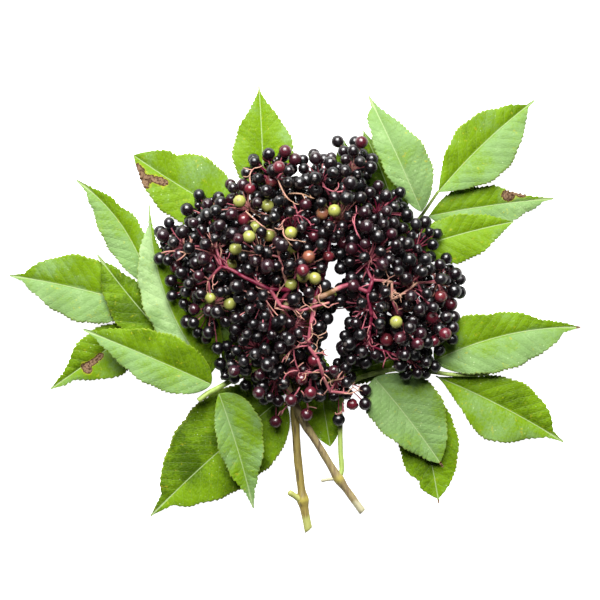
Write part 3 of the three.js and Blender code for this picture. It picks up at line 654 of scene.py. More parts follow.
# How far points lie past the middle planes between a spray's centre and the others', or less than 0.
def pastCell(number, points, centres):
    between = np.delete(centres, number, 0) - centres[number]
    past = (points[:, None] - centres[number] - between / 2) * between
    return (past.sum(2) / np.linalg.norm(between, axis=1)).max(1)


# A berry for every spot: the modelled one that lies there, or a new one on top of the nearest
# spray, at the nearest height where it touches nothing. Returns its number and ripeness.
def placeSpots(junctions, places, radii, owners):
    centres = np.array([row[0] for row in junctions])
    reaches = np.array([reach for _, reach, _, _ in sprays], float)
    known = np.array(places)
    chosen = []
    for ripeness, spots in standouts.items():
        for spot in spots:
            away = np.hypot(known[:, 0] - spot[0], known[:, 1] - spot[1])
            away[[number for number, _ in chosen if number < len(known)]] = np.inf
            nearest = int(np.argmin(away))
            if away[nearest] < packing["spotReach"]:
                chosen.append((nearest, ripeness))
                continue
            depth = (((np.array(spot) - centres[:, :2]) / reaches[:, :2]) ** 2).sum(1)
            owner = int(np.argmin(depth))
            level = centres[owner, 2] + reaches[owner, 2] * math.sqrt(max(1 - depth[owner], 0.1))
            heights = level + packing["spotShifts"]
            column = np.stack([np.full_like(heights, spot[0]), np.full_like(heights, spot[1]), heights], -1)
            gaps = np.linalg.norm(column[:, None] - np.array(places), axis=2) - np.array(radii)
            chosen.append((len(places), ripeness))
            places.append(column[np.argmax(gaps.min(1) > berryRadius)])
            radii.append(berryRadius)
            owners.append(owner)
    return chosen


# Whether a berry at each point would show in one of the openings.
def overClearing(points, size):
    hit = np.zeros(len(points), bool)
    for middle, half in clearings:
        reach = np.array(half) + packing["clearShare"] * np.maximum(size, packing["clearAtLeast"])[:, None]
        hit |= (((points[:, :2] - middle) / reach) ** 2).sum(1) < 1
    return hit


# Whether each point has sprays on all sides of it: the ways to the nearest four cancel out on the plan,
# and the third nearest is still close.
def isEnclosed(points, centres, reaches):
    away = centres[None] - points[:, None]
    depth = np.linalg.norm(away / reaches, axis=2)
    nearest = np.argsort(depth, axis=1)[:, :4]
    flat = np.take_along_axis(away, nearest[..., None], 1)[..., :2]
    flat /= np.maximum(np.linalg.norm(flat, axis=2, keepdims=True), 1e-6)
    close = np.take_along_axis(depth, nearest, 1)[:, 2] < packing["fillBetween"]
    return close & (np.linalg.norm(flat.mean(1), axis=1) < packing["enclosed"])


# The rest of the berries: shell after shell, wherever none touches another, a stem, a leaf or a ray,
# and none lies above an open ray, above a spot or over an opening. Shells past 1 only fill the space
# that sprays enclose, and so does 0, a cylinder of scattered places under each spray.
def fillBerries(junctions, links, leafPoints, green, spots, places, radii, owners):
    starts, ends, linkRadius, _, above = links
    centres = np.array([row[0] for row in junctions])
    reaches = np.array([reach for _, reach, _, _ in sprays], float)
    draw = np.random.default_rng(packing["fillSeed"])
    spotPlaces = np.array([places[number] for number, _ in spots])
    spotReaches = np.array([radii[number] for number, _ in spots])

    def hasRoom(at, size):
        fine = at[:, 2] > size + packing["fillLift"]
        room = size[:, None] + linkRadius + packing["fillLink"]
        fine &= (linkDistances(at, starts, ends, above) > room).all(1)
        fine &= ~overClearing(at, size)
        beside = np.linalg.norm(at[:, None, :2] - spotPlaces[None, :, :2], axis=2)
        hides = beside < packing["spotOverlap"] * (size[:, None] + spotReaches)
        fine &= ~(hides & (at[:, None, 2] > spotPlaces[None, :, 2])).any(1)
        fine[fine] = (np.linalg.norm(at[fine][:, None] - leafPoints[None], axis=2).min(1)
                      > packing["fillLeaf"] - berryRadius + size[fine])
        return fine

    for layer, tries in zip(packing["fillLayers"], packing["fillTries"]):
        points, sizes, numbers = [], [], []
        for number, (centre, reach, _, _) in enumerate(sprays):
            turn = 2 * np.pi * draw.random(tries)
            level = 1 - 2 * draw.random(tries) ** packing["fillUpward"]
            flat = np.sqrt(1 - level ** 2)
            way = np.stack([flat * np.cos(turn), flat * np.sin(turn), level], -1)
            at = np.array(centre) + layer * np.array(reach) * way
            if layer == 0:
                spread = packing["fillSpread"] * np.sqrt(draw.random(tries))[:, None] * np.array(reach[:2])
                at[:, :2] += spread * np.stack([np.cos(turn), np.sin(turn)], -1)
                at[:, 2] += (packing["fillLowest"] - centre[2]) * draw.random(tries)
            size = berryRadius * draw.uniform(*packing["fillSize"], tries)
            fine = np.linalg.norm(at - junctions[number][1], axis=1) > packing["fillPedicel"]
            fine &= pastCell(number, at, centres) < packing["fillMargin"]
            if layer > 1 or layer == 0:
                fine &= isEnclosed(at, centres, reaches)
            fine[fine] = hasRoom(at[fine], size[fine])
            points.append(at[fine])
            sizes.append(size[fine])
            numbers.append(np.full(fine.sum(), number))
        points, sizes, numbers = np.concatenate(points), np.concatenate(sizes), np.concatenate(numbers)
        for index in draw.permutation(len(points)):
            gap = np.linalg.norm(np.array(places) - points[index], axis=1) - np.array(radii)
            if gap.min() > sizes[index] + packing["fillGap"]:
                places.append(points[index])
                radii.append(sizes[index])
                owners.append(numbers[index])
    plugGaps(draw, hasRoom, centres, reaches, green, places, radii, owners)
    return np.array(places), np.array(radii), np.array(owners)


# Small berries low down, wherever the ground would still show inside the mass: at each place of a grid,
# the lowest height with room for one.
def plugGaps(draw, hasRoom, centres, reaches, green, places, radii, owners):
    x, y = (axis.ravel() for axis in np.meshgrid(*(
        np.arange(*ends, packing["plugStep"]) for ends in packing["plugField"])))
    plan = np.stack([x, y, np.full(len(x), packing["plugLevel"])], -1)
    away = np.linalg.norm((plan[:, None, :2] - centres[:, :2]) / reaches[:, :2], axis=2)
    nearest = np.argmin(away, axis=1)
    inside = (away.min(1) < packing["plugInside"]) | isEnclosed(plan, centres, reaches)
    inside &= np.linalg.norm(plan[:, None, :2] - green, axis=2).min(1) > packing["leafCovers"]
    heights, showing = packing["plugHeights"], np.nonzero(inside)[0]
    rounds = [(index, sizes) for sizes in packing["plugSizes"] for index in draw.permutation(showing)]
    for index, sizes in rounds:
        known, size = np.array(places), berryRadius * draw.uniform(*sizes)
        beside = np.hypot(known[:, 0] - x[index], known[:, 1] - y[index])
        if (beside < np.array(radii) * packing["plugCover"]).any():
            continue
        column = np.stack([np.full_like(heights, x[index]), np.full_like(heights, y[index]), heights], -1)
        gap = (np.linalg.norm(column[:, None] - known, axis=2) - np.array(radii)).min(1) - size
        fine = (gap > packing["fillGap"]) & hasRoom(column, np.full(len(heights), size))
        if fine.any():
            places.append(column[np.argmax(fine)])
            radii.append(size)
            owners.append(nearest[index])


junctions = [junctionOf(spray) for spray in sprays]
links = listLinks(junctions)
twigRows = [(first, second, rayTwigRadius, -1, 0.0) for start, middle, end, _ in bareTwigs
            for first, second in ((start, middle), (middle, end))]
fillLinks = [np.concatenate([column, np.array(more, float)]) for column, more in zip(links, zip(*twigRows))]
down, over = np.meshgrid(np.arange(17) / 16, np.arange(-3, 4) / 3, indexing="ij")  # points on each leaf
leafPoints = np.concatenate([leafPoint(leaf, down, over).reshape(-1, 3) for leaf in leaves.values()])
modelled = placeModelledBerries(junctions, links, leafPoints)
behind = np.concatenate([leafPoint(leaf, down, over).reshape(-1, 3) for leaf in leavesBehind.values()])
spots = placeSpots(junctions, *modelled)
berryPlaces, berryRadii, berryOwners = fillBerries(
    junctions, fillLinks, np.concatenate([leafPoints, behind]), behind[:, :2], spots, *modelled)
print("berries placed:", len(berryPlaces))


# Faces of a bundle of closed tubes: rings of points between two poles, repeated count times.
def bundleFaces(count, rings, sides):
    here = np.arange(sides)
    onward = (here + 1) % sides
    ring = 1 + np.arange(rings - 1)[:, None] * sides
    quads = np.stack([ring + here, ring + onward, ring + sides + onward, ring + sides + here], -1)
    quads = quads.reshape(-1, 4)
    last = 1 + (rings - 1) * sides
    caps = np.concatenate([
        np.stack([np.zeros_like(here), onward + 1, here + 1], -1),
        np.stack([np.full_like(here, last + sides), last + here, last + onward], -1)])
    step = (np.arange(count) * (rings * sides + 2))[:, None, None]
    return (quads[None] + step).reshape(-1, 4), (caps[None] + step).reshape(-1, 3)


# Points of tubes along paths (count, steps, 3) with radii (count, steps): circles square to each path.
def bundlePoints(paths, radii, sides):
    tangent = np.gradient(paths, axis=1)
    tangent /= np.linalg.norm(tangent, axis=2, keepdims=True)
    whole = paths[:, -1] - paths[:, 0]
    helper = np.where((np.abs(whole[:, 2]) > 0.8 * np.linalg.norm(whole, axis=1))[:, None],
                      [1.0, 0.0, 0.0], [0.0, 0.0, 1.0])[:, None, :]
    side = np.cross(helper, tangent)
    side /= np.linalg.norm(side, axis=2, keepdims=True)
    up = np.cross(tangent, side)
    angle = np.arange(sides) * 2 * np.pi / sides
    circle = side[:, :, None] * np.cos(angle)[:, None] + up[:, :, None] * np.sin(angle)[:, None]
    rings = paths[:, :, None] + circle * radii[:, :, None, None]
    return np.concatenate([paths[:, :1], rings.reshape(len(paths), -1, 3), paths[:, -1:]], 1)


# A mesh object from points in drawing millimetres and arrays of quads and triangles.
def makePiece(name, points, quads, triangles, material, attributes=()):
    points = (points.reshape(-1, 3) - middleOfBox) * mm
    mesh = bpy.data.meshes.new(name)
    corners = np.concatenate([quads.reshape(-1), triangles.reshape(-1)]).astype(np.int32)
    sizes = np.concatenate([np.full(len(quads), 4), np.full(len(triangles), 3)])
    mesh.vertices.add(len(points))
    mesh.vertices.foreach_set("co", points.astype(np.float32).ravel())
    mesh.loops.add(len(corners))
    mesh.loops.foreach_set("vertex_index", corners)
    mesh.polygons.add(len(sizes))
    mesh.polygons.foreach_set("loop_start", (np.cumsum(sizes) - sizes).astype(np.int32))
    mesh.polygons.foreach_set("use_smooth", np.ones(len(sizes), bool))
    for label, values in attributes:
        layer = mesh.attributes.new(label, "FLOAT", "POINT")
        layer.data.foreach_set("value", np.asarray(values, np.float32).ravel())
    mesh.update(calc_edges=True)
    mesh.validate()
    mesh.materials.append(material)
    piece = bpy.data.objects.new(name, mesh)
    bpy.context.collection.objects.link(piece)
    return piece


# A piece rides with the bunch, and stands for a frame node if it has one.
def standFor(piece, node):
    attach(piece, "root")
    if node:
        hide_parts(node)


# Smooth stepping from 0 to 1 between two values.
def smooth(low, high, value):
    t = np.clip((value - low) / (high - low), 0, 1)
    return t * t * (3 - 2 * t)


# A smooth curve through points (k, 3): uniform Catmull-Rom with steps samples for each span.
def smoothRoute(points, steps):
    p = np.array(points, float)
    p = np.concatenate([2 * p[:1] - p[1:2], p, 2 * p[-1:] - p[-2:-1]])
    t = (np.arange(steps) / steps)[:, None]
    spans = [0.5 * (2 * b + (c - a) * t + (2 * a - 5 * b + 4 * c - d) * t ** 2
                    + (3 * b - a - 3 * c + d) * t ** 3)
             for a, b, c, d in zip(p[:-3], p[1:-2], p[2:-1], p[3:])]
    return np.concatenate(spans + [p[-2:-1]])


# Leaf blades.
leafLook = {
    "rows": 150, "columns": 14,                  # cells along, and across each half
    "thickness": 0.35, "lift": 0.55,             # mm, the upper side's height over the drawn underside
    "toothPitch": 2.4, "toothDepth": 1.15,       # mm
    "tailSpread": 0.16, "tailStart": 0.74, "scallop": 0.35, "scallopLength": 15.0,
    "slimTails": {"leaf_left_curled": 0.1},
    "veinPitch": 6.6, "veinSlope": 0.84, "veinCurve": 0.012, "midribWidth": (0.36, 0.15),
    "quilt": 0.34, "groove": 0.3, "grooveWidth": 1.0, "ripple": 0.9, "rippleLength": 24.0,
    "seedStep": 1.7, "blotchScale": 330.0,
    # on leaves the mottle's shift reaches the pale tone steps, so its patches are partly painted sheen
    "mottle": {"Scale": 55.0, "Low": -0.45, "High": 0.45}, "grain": {"Scale": 900.0, "Roughness": 0.6},
    "speckScale": 520.0, "speckedCells": 0.72, "netScale": 0.55,
    "rimTint": 0.5, "netTint": 0.05, "veinTint": 0.12, "midribTint": 0.62,
    "shine": (0.33, 0.43), "specular": 0.05, "bumpStrength": 0.55, "bumpDepth": 0.00035,
    # the pale and glare steps of the tone are painted sheen and painted glare
    "deep": (0.037, 0.075, 0.0015), "fresh": (0.11, 0.20, 0.003), "paintedSheen": (0.14, 0.235, 0.075),
    "paintedGlare": (0.25, 0.36, 0.155), "vein": (0.29, 0.37, 0.17),
    "under": (0.24, 0.36, 0.12), "brown": (0.17, 0.105, 0.06), "scorch": (0.04, 0.02, 0.01),
    "yellow": (0.33, 0.31, 0.02), "rim": (0.21, 0.27, 0.03), "speck": (0.45, 0.55, 0.30),
}
# Tone of each leaf's left and right half: 0 dark, 1 fresh green, 2 pale with painted sheen, 3 painted glare.
# Each half's tone follows how lit it looks, so it holds painted light and shade besides the leaf's own
# green.
leafTonesWithPaintedLight = {
    "leaf_top": (1.1, 1.1), "leaf_upper_left": (0.8, 1.2), "leaf_left_upper": (1.9, 1.1),
    "leaf_left_middle": (1.9, 1.2), "leaf_left_inner": (0.5, 0.4), "leaf_left_curled": (2.5, 0.8),
    "leaf_left_front": (1.7, 0.9), "leaf_left_spotted": (1.4, 0.7), "leaf_bottom_broad": (0.6, 0.4),
    "leaf_bottom_front": (1.6, 1.5), "leaf_bottom_centre": (0.9, 1),
    "leaf_lower_right_front": (1.7, 1.9), "leaf_lower_right_back": (0.9, 0.8),
    "leaf_right_lower": (0.8, 1.2), "leaf_right_middle": (1.1, 1.8), "leaf_right_inner": (1.9, 1.8),
    "leaf_right_top": (1.0, 1.8), "leaf_right_upper": (1.2, 1.9), "leaf_right_under": (1.1, 1.1),
    "leaf_hidden_right": (0.2, 1.2), "leaf_hidden_middle": (0.2, 0.2),
    "leaf_behind_right": (0.5, 0.4), "leaf_behind_left": (0.6, 0.5),
    "leaf_behind_centre": (0.6, 0.6), "leaf_behind_notch": (1.1, 1.1),
}
# Brown patches run from one place to another, along and across (0 to 1, -1 to 1), with a half width in mm.
blemishes = [
    ("leaf_upper_left", (0.89, 0.8), (0.79, 0.9), 4.6), ("leaf_upper_left", (0.8, 0.6), (0.66, 0.2), 3.2),
    ("leaf_left_spotted", (0.62, 0.1), (0.62, 0.34), 3.6),
    ("leaf_left_spotted", (0.6, 0.14), (0.45, 0.06), 2.4),
    ("leaf_right_upper", (0.63, 0.5), (0.67, 0.65), 3.8),
    ("leaf_right_upper", (0.67, 0.8), (0.76, 0.95), 2.2),
    ("leaf_lower_right_front", (0.98, 0), (1, 0), 3), ("leaf_lower_right_back", (0.985, 0), (1, 0), 2),
    ("leaf_right_middle", (0.985, 0), (1, 0), 2),
]
# Dips in the margin: leaf, side (1 left, -1 right), place along, half length along and depth in mm.
dips = [
    ("leaf_upper_left", -1, 0.69, 0.06, 3.2), ("leaf_right_middle", 1, 0.42, 0.06, 2.2),
    ("leaf_right_lower", -1, 0.28, 0.06, 1.4), ("leaf_lower_right_back", -1, 0.8, 0.04, 2.0),
    ("leaf_left_upper", -1, 0.62, 0.08, 1.2), ("leaf_right_upper", 1, 0.42, 0.1, 1.4),
    ("leaf_bottom_broad", 1, 0.42, 0.1, 1.5),
]


# Relief in mm at s along and d from the midrib: blisters between side veins, a groove on the midrib.
def leafRelief(s, d, side, across, seed):
    veinPhase = (s - leafLook["veinSlope"] * d - leafLook["veinCurve"] * d * d) / leafLook["veinPitch"]
    veinPhase = veinPhase + 0.5 * (side > 0)
    blister = np.abs(np.sin(np.pi * veinPhase)) ** 0.8 * smooth(0.3, 3.5, d) * (1 - 0.5 * across ** 4)
    small = 0.35 * np.sin(1.9 * s + 1.3 * d + seed) * np.sin(1.5 * d - 0.8 * s + 2 * seed)
    groove = np.exp(-(d / leafLook["grooveWidth"]) ** 2)
    wave = np.sin(2 * np.pi * s / leafLook["rippleLength"] + seed + side) * across ** 2
    return (leafLook["quilt"] * blister * (1 + small) - leafLook["groove"] * groove
            + leafLook["ripple"] * wave * smooth(0, 12, d))


# How far a drawn-out tail, slow scallops and a leaf's own dips move its margin, in mm.
def leafMargin(node, leaf, s, t, side, seed):
    tail = min(leaf["tail"] / 0.1, 1) * leafLook["tailSpread"] * math.dist(leaf["base"], leaf["tip"])
    tail *= leafLook["slimTails"].get(node, 1.0)
    shift = tail * (1 - t) * smooth(leafLook["tailStart"], 0.9, t)
    scallop = np.sin(2 * np.pi * s / leafLook["scallopLength"] + 2.3 * seed + 1.7 * side)
    shift += leafLook["scallop"] * scallop * smooth(0.05, 0.3, t) * (1 - smooth(0.75, 0.9, t))
    for name, dipSide, place, reach, depth in dips:
        if name == node:
            shift -= depth * np.exp(-((t - place) / reach) ** 2) * (side == dipSide)
    return shift


# Saw teeth that lean towards the tip: how much wider the blade is at s along, in mm.
def leafTeeth(s, t, side, seed):
    phase = s / leafLook["toothPitch"] + 0.35 * np.sin(0.31 * s + seed + side)
    saw = phase - np.floor(phase)
    depth = leafLook["toothDepth"] * (0.8 + 0.3 * np.sin(0.83 * s + seed))
    return depth * (saw - 0.6) * smooth(0.06, 0.16, t) * (1 - smooth(0.86, 0.97, t))


# How brown each point of a leaf is: 1 on the line of a patch, falling evenly to 0 at its half width.
def leafBlemish(node, leaf, plan):
    blemish = np.zeros(plan.shape[:2])
    for name, first, second, size in blemishes:
        if name == node:
            ends = leafPoint(leaf, np.array([first[0], second[0]]), np.array([first[1], second[1]]))[:, :2]
            span = ends[1] - ends[0]
            part = np.clip((plan - ends[0]) @ span / (span @ span), 0, 1)
            away = np.linalg.norm(plan - ends[0] - part[..., None] * span, axis=-1)
            blemish = np.maximum(blemish, 1 - away / size)
    return blemish


# A closed blade: the leaf's surface with teeth and relief, a second sheet under it, and a rim between.
def makeLeaf(node, leaf, seed, material):
    rows, columns = leafLook["rows"], leafLook["columns"]
    t, across = np.meshgrid(np.arange(rows + 1) / rows, np.linspace(-1, 1, 2 * columns + 1), indexing="ij")
    length = math.dist(leaf["base"], leaf["tip"])
    side = np.sign(across)
    half = leafHalf(leaf, t, across)
    s, d = t * length, np.abs(across) * half
    wider = leafTeeth(s, t, side, seed) * smooth(0.82, 1.0, np.abs(across))
    wider = np.maximum(wider + leafMargin(node, leaf, s, t, side, seed), 0.25 - half)
    drawn = leafPoint(leaf, t, across, wider)
    relief = leafRelief(s, d, side, np.abs(across), seed)
    top = drawn.copy()
    top[..., 2] = np.maximum(drawn[..., 2] + leafLook["lift"] + relief, leafLook["thickness"] + 0.02)
    under = top.copy()
    under[..., 2] -= leafLook["thickness"]
    wide, count = 2 * columns + 1, (rows + 1) * (2 * columns + 1)
    grid = np.arange(count).reshape(rows + 1, wide)
    cells = np.stack([grid[:-1, :-1], grid[:-1, 1:], grid[1:, 1:], grid[1:, :-1]], -1).reshape(-1, 4)
    border = np.concatenate([grid[0, :-1], grid[:-1, -1], grid[-1, :0:-1], grid[:0:-1, 0]])
    nextOne = np.roll(border, -1)
    rim = np.stack([border, nextOne, nextOne + count, border + count], -1)
    # across grows to the left of growth, so cells taken in this order face down
    quads = np.concatenate([cells[:, ::-1], cells + count, rim])
    leftTone, rightTone = leafTonesWithPaintedLight[node]
    tone = rightTone + (leftTone - rightTone) * smooth(-0.8, 0.8, side * d)
    both = [("alongLeaf", s), ("acrossLeaf", side * d), ("edgeLeaf", np.abs(across)),
            ("blemish", leafBlemish(node, leaf, drawn[..., :2])), ("tone", tone)]
    values = [(label, np.concatenate([field.ravel(), field.ravel()])) for label, field in both]
    values.append(("underside", np.repeat([0.0, 1.0], count)))
    values.append(("leafSeed", np.full(2 * count, seed)))
    piece = makePiece(node + "_blade", np.concatenate([top.reshape(-1, 3), under.reshape(-1, 3)]),
                      quads, np.zeros((0, 3), int), material, values)
    standFor(piece, node if node in leaves else None)


# Side veins and midrib as a mask from the leaf's own measures: Along and Across in mm.
def buildVeinGroup():
    tree, given, result = newGroup("leafVeins", dict.fromkeys(("Along", "Across", "Seed"), "Float"),
                                   dict.fromkeys(("Veins", "Midrib", "Net"), "Float"))
    d = maths(tree, "ABSOLUTE", given["Across"])
    leaning = maths(tree, "MULTIPLY_ADD", d, -leafLook["veinSlope"], given["Along"])
    curved = maths(tree, "MULTIPLY_ADD", maths(tree, "MULTIPLY", d, d), -leafLook["veinCurve"], leaning)
    isLeft = maths(tree, "GREATER_THAN", given["Across"], 0.0)
    phase = maths(tree, "MULTIPLY_ADD", isLeft, 0.5, maths(tree, "DIVIDE", curved, leafLook["veinPitch"]))
    saw = maths(tree, "SUBTRACT", maths(tree, "FRACT", phase), 0.5)
    ridge = maths(tree, "MULTIPLY", maths(tree, "ABSOLUTE", saw), 2.0)
    sideVeins = maths(tree, "MULTIPLY", mapRange(tree, ridge, 0.9, 1.0), 0.75)
    midrib = mapRange(tree, d, *leafLook["midribWidth"])
    tree.links.new(midrib, result["Midrib"])
    tree.links.new(maths(tree, "MAXIMUM", sideVeins, midrib), result["Veins"])
    flat = wire(tree, "ShaderNodeCombineXYZ", {0: curved, 1: given["Across"], 2: given["Seed"]}).outputs[0]
    cells = wire(tree, "ShaderNodeTexVoronoi", {"Vector": flat, "Scale": leafLook["netScale"]},
                 feature="DISTANCE_TO_EDGE").outputs["Distance"]
    tree.links.new(mapRange(tree, cells, 0.12, 0.0), result["Net"])
    return tree


# Leaf skin: green by tone, which holds painted sheen, light and shade, and by mottle, partly painted sheen;
# pale veins and rim, white specks, and brown patches with ragged edges.
def buildLeafMaterial():
    material, tree, surface = newMaterial("leafBlade")
    along, across = attribute(tree, "alongLeaf"), attribute(tree, "acrossLeaf")
    seed, edge = attribute(tree, "leafSeed"), attribute(tree, "edgeLeaf")
    under = attribute(tree, "underside")
    veins = useGroup(tree, buildVeinGroup(), {"Along": along, "Across": across, "Seed": seed})
    place = wire(tree, "ShaderNodeTexCoord").outputs["Object"]
    mottle = useGroup(tree, mottleGroup, leafLook["mottle"])
    broad, fine = mottle["Level"], useGroup(tree, grainGroup, leafLook["grain"])["Grain"]
    # Tone picks the green: its pale steps, and the mottle patches that reach them, are painted sheen and
    # painted glare.
    tone = maths(tree, "ADD", attribute(tree, "tone"), mottle["Shift"])
    tone = maths(tree, "SUBTRACT", tone, mapRange(tree, fine, 0.35, 0.75, -0.15, 0.2))
    green = mixColour(tree, mapRange(tree, tone, 0.0, 1.0), leafLook["deep"], leafLook["fresh"])
    green = mixColour(tree, mapRange(tree, tone, 1.0, 2.0), green, leafLook["paintedSheen"])
    green = mixColour(tree, mapRange(tree, tone, 2.0, 3.0), green, leafLook["paintedGlare"])
    rim = mapRange(tree, edge, 0.93, 0.99)
    tints = [(rim, "rimTint", "rim"), (veins["Net"], "netTint", "vein"),
             (veins["Veins"], "veinTint", "vein"), (veins["Midrib"], "midribTint", "vein")]
    for mask, strength, label in tints:
        green = mixColour(tree, maths(tree, "MULTIPLY", mask, leafLook[strength]), green, leafLook[label])
    dots = wire(tree, "ShaderNodeTexVoronoi", {"Vector": place, "Scale": leafLook["speckScale"]})
    chance = wire(tree, "ShaderNodeSeparateColor", {"Color": dots.outputs["Color"]}).outputs[0]
    some = maths(tree, "GREATER_THAN", chance, leafLook["speckedCells"])
    speck = maths(tree, "MULTIPLY", mapRange(tree, dots.outputs["Distance"], 0.2, 0.08), some)
    speck = maths(tree, "MULTIPLY", speck, mapRange(tree, broad, 0.42, 0.6, 0.0, 0.6))
    green = mixColour(tree, speck, green, leafLook["speck"])
    green = mixColour(tree, under, green, leafLook["under"])
    ragged = noise(tree, place, leafLook["blotchScale"], 4.0, 0.7)
    blotch = maths(tree, "MULTIPLY_ADD", ragged, 1.5, attribute(tree, "blemish"))
    yellowing = mapRange(tree, blotch, 0.9, 1.1, 0.0, 0.7)
    brownness = mapRange(tree, blotch, 1.05, 1.15)
    dry = mixColour(tree, mapRange(tree, blotch, 1.15, 1.4), leafLook["scorch"], leafLook["brown"])
    dry = mixColour(tree, mapRange(tree, fine, 0.45, 0.62), dry, leafLook["scorch"])
    colour = mixColour(tree, yellowing, green, leafLook["yellow"])
    colour = mixColour(tree, brownness, colour, dry)
    shine = mapRange(tree, broad, 0.3, 0.7, *leafLook["shine"])
    roughness = maths(tree, "MULTIPLY_ADD", brownness, 0.35, shine)
    height = maths(tree, "MULTIPLY_ADD", veins["Veins"], -0.8, maths(tree, "MULTIPLY", fine, 0.5))
    height = maths(tree, "MULTIPLY_ADD", veins["Net"], -0.45, height)
    finishSkin(tree, surface, leafLook, colour, roughness, height)
    return material


leafMaterial = buildLeafMaterial()
for number, (node, leaf) in enumerate({**leaves, **leavesBehind}.items()):
    makeLeaf(node, leaf, leafLook["seedStep"] * number, leafMaterial)
print("leaves made:", len(leaves) + len(leavesBehind))


# Stems and leaf stalks.
stemLook = {
    "ringStep": 1.2, "sides": 18, "spanSteps": 8, "furrow": 0.05,
    "rounding": (0.12, 0.06),                       # mm past the cut, of two narrower rings
    "swellings": {"stem_left": [(16.0, 3.2, 1.15), (60.0, 4.0, 0.25)],
                  "stem_right": [(21.5, 4.0, 0.85), (52.0, 4.0, 0.3)]},     # mm along, half length, mm added
    "ringedFrom": 0.5,                              # mm added, from which a node is ringed
    "stubs": {"stem_left": ((4, -100, 3.2), (-3.4, -95.2, 4.5), 2.0, 1.45),
              "stem_right": ((22.4, -88, 4), (13.4, -89.4, 4.5), 1.25, 0.85)},
    "stubSides": 10, "stubRise": 0.6,
    "uneven": ((0.03, 0.23, 0), (0.02, 0.71, 1)),   # two waves along it, as parts of the radius
    "cutSlope": {"stem_left": 0.55, "stem_right": 0.15},
    "finerEnd": {"leaf_stalk_right_top": 0.55, "leaf_stalk_right": 0.75},   # radius there, as a part
    "reachesTo": {"leaf_stalk_right_top": [(73.9, 60.3, 13.3)],
                  "leaf_stalk_right": [(80, -34.2, 9), (90, -34.4, 9.5), (100, -33.8, 9)]},
    "comesFrom": {"leaf_stalk_right": [(22.3, -88.4, 4.2)]},
    "lowest": 0.03,
    "finish": {"stem_left": "barkOlive", "stem_right": "barkTan"},          # the others are green stalks
    "streakScale": 700.0, "streakLength": 0.12, "poreScale": 330.0,
    "ringColour": (0.34, 0.29, 0.045), "pith": (0.55, 0.50, 0.30),
    "roughness": 0.6, "specular": 0.5, "bumpStrength": 0.5, "bumpDepth": 0.0004,
}
# Colour of the skin, of its streaks and of its corky pores, how strong those are, and the colour by the cut.
stemFinishes = {
    "barkOlive": {"Base": (0.22, 0.17, 0.035), "Streak": (0.12, 0.085, 0.02), "Pore": (0.04, 0.022, 0.012),
                  "PoreAmount": 0.75, "Cut": (0.30, 0.32, 0.085)},
    "barkTan": {"Base": (0.25, 0.20, 0.08), "Streak": (0.15, 0.10, 0.05), "Pore": (0.08, 0.05, 0.03),
                "PoreAmount": 0.8, "Cut": (0.36, 0.34, 0.21)},
    "greenStalk": {"Base": (0.29, 0.38, 0.09), "Streak": (0.19, 0.28, 0.04), "Pore": (0.34, 0.4, 0.15),
                   "PoreAmount": 0.2, "Cut": (0.29, 0.38, 0.09)},
}


# A stub of a side twig: a short tube that rises a little and swells before its rounded end.
def makeStub(root, end, thick, thin):
    root, end = np.array(root, float), np.array(end, float)
    t = np.array([0, 0.3, 0.6, 0.85, 0.97, 1.0])
    rise = np.array([0, 0, stemLook["stubRise"]]) * t[:, None] * t[:, None]
    path = root + (end - root) * t[:, None] + rise
    size = np.interp(t, [0, 0.6, 0.85, 0.97, 1.0], [thick, thin, thin * 1.1, thin, thin * 0.6])
    points = bundlePoints(path[None], size[None], stemLook["stubSides"])[0]
    return points, *bundleFaces(1, len(t), stemLook["stubSides"])


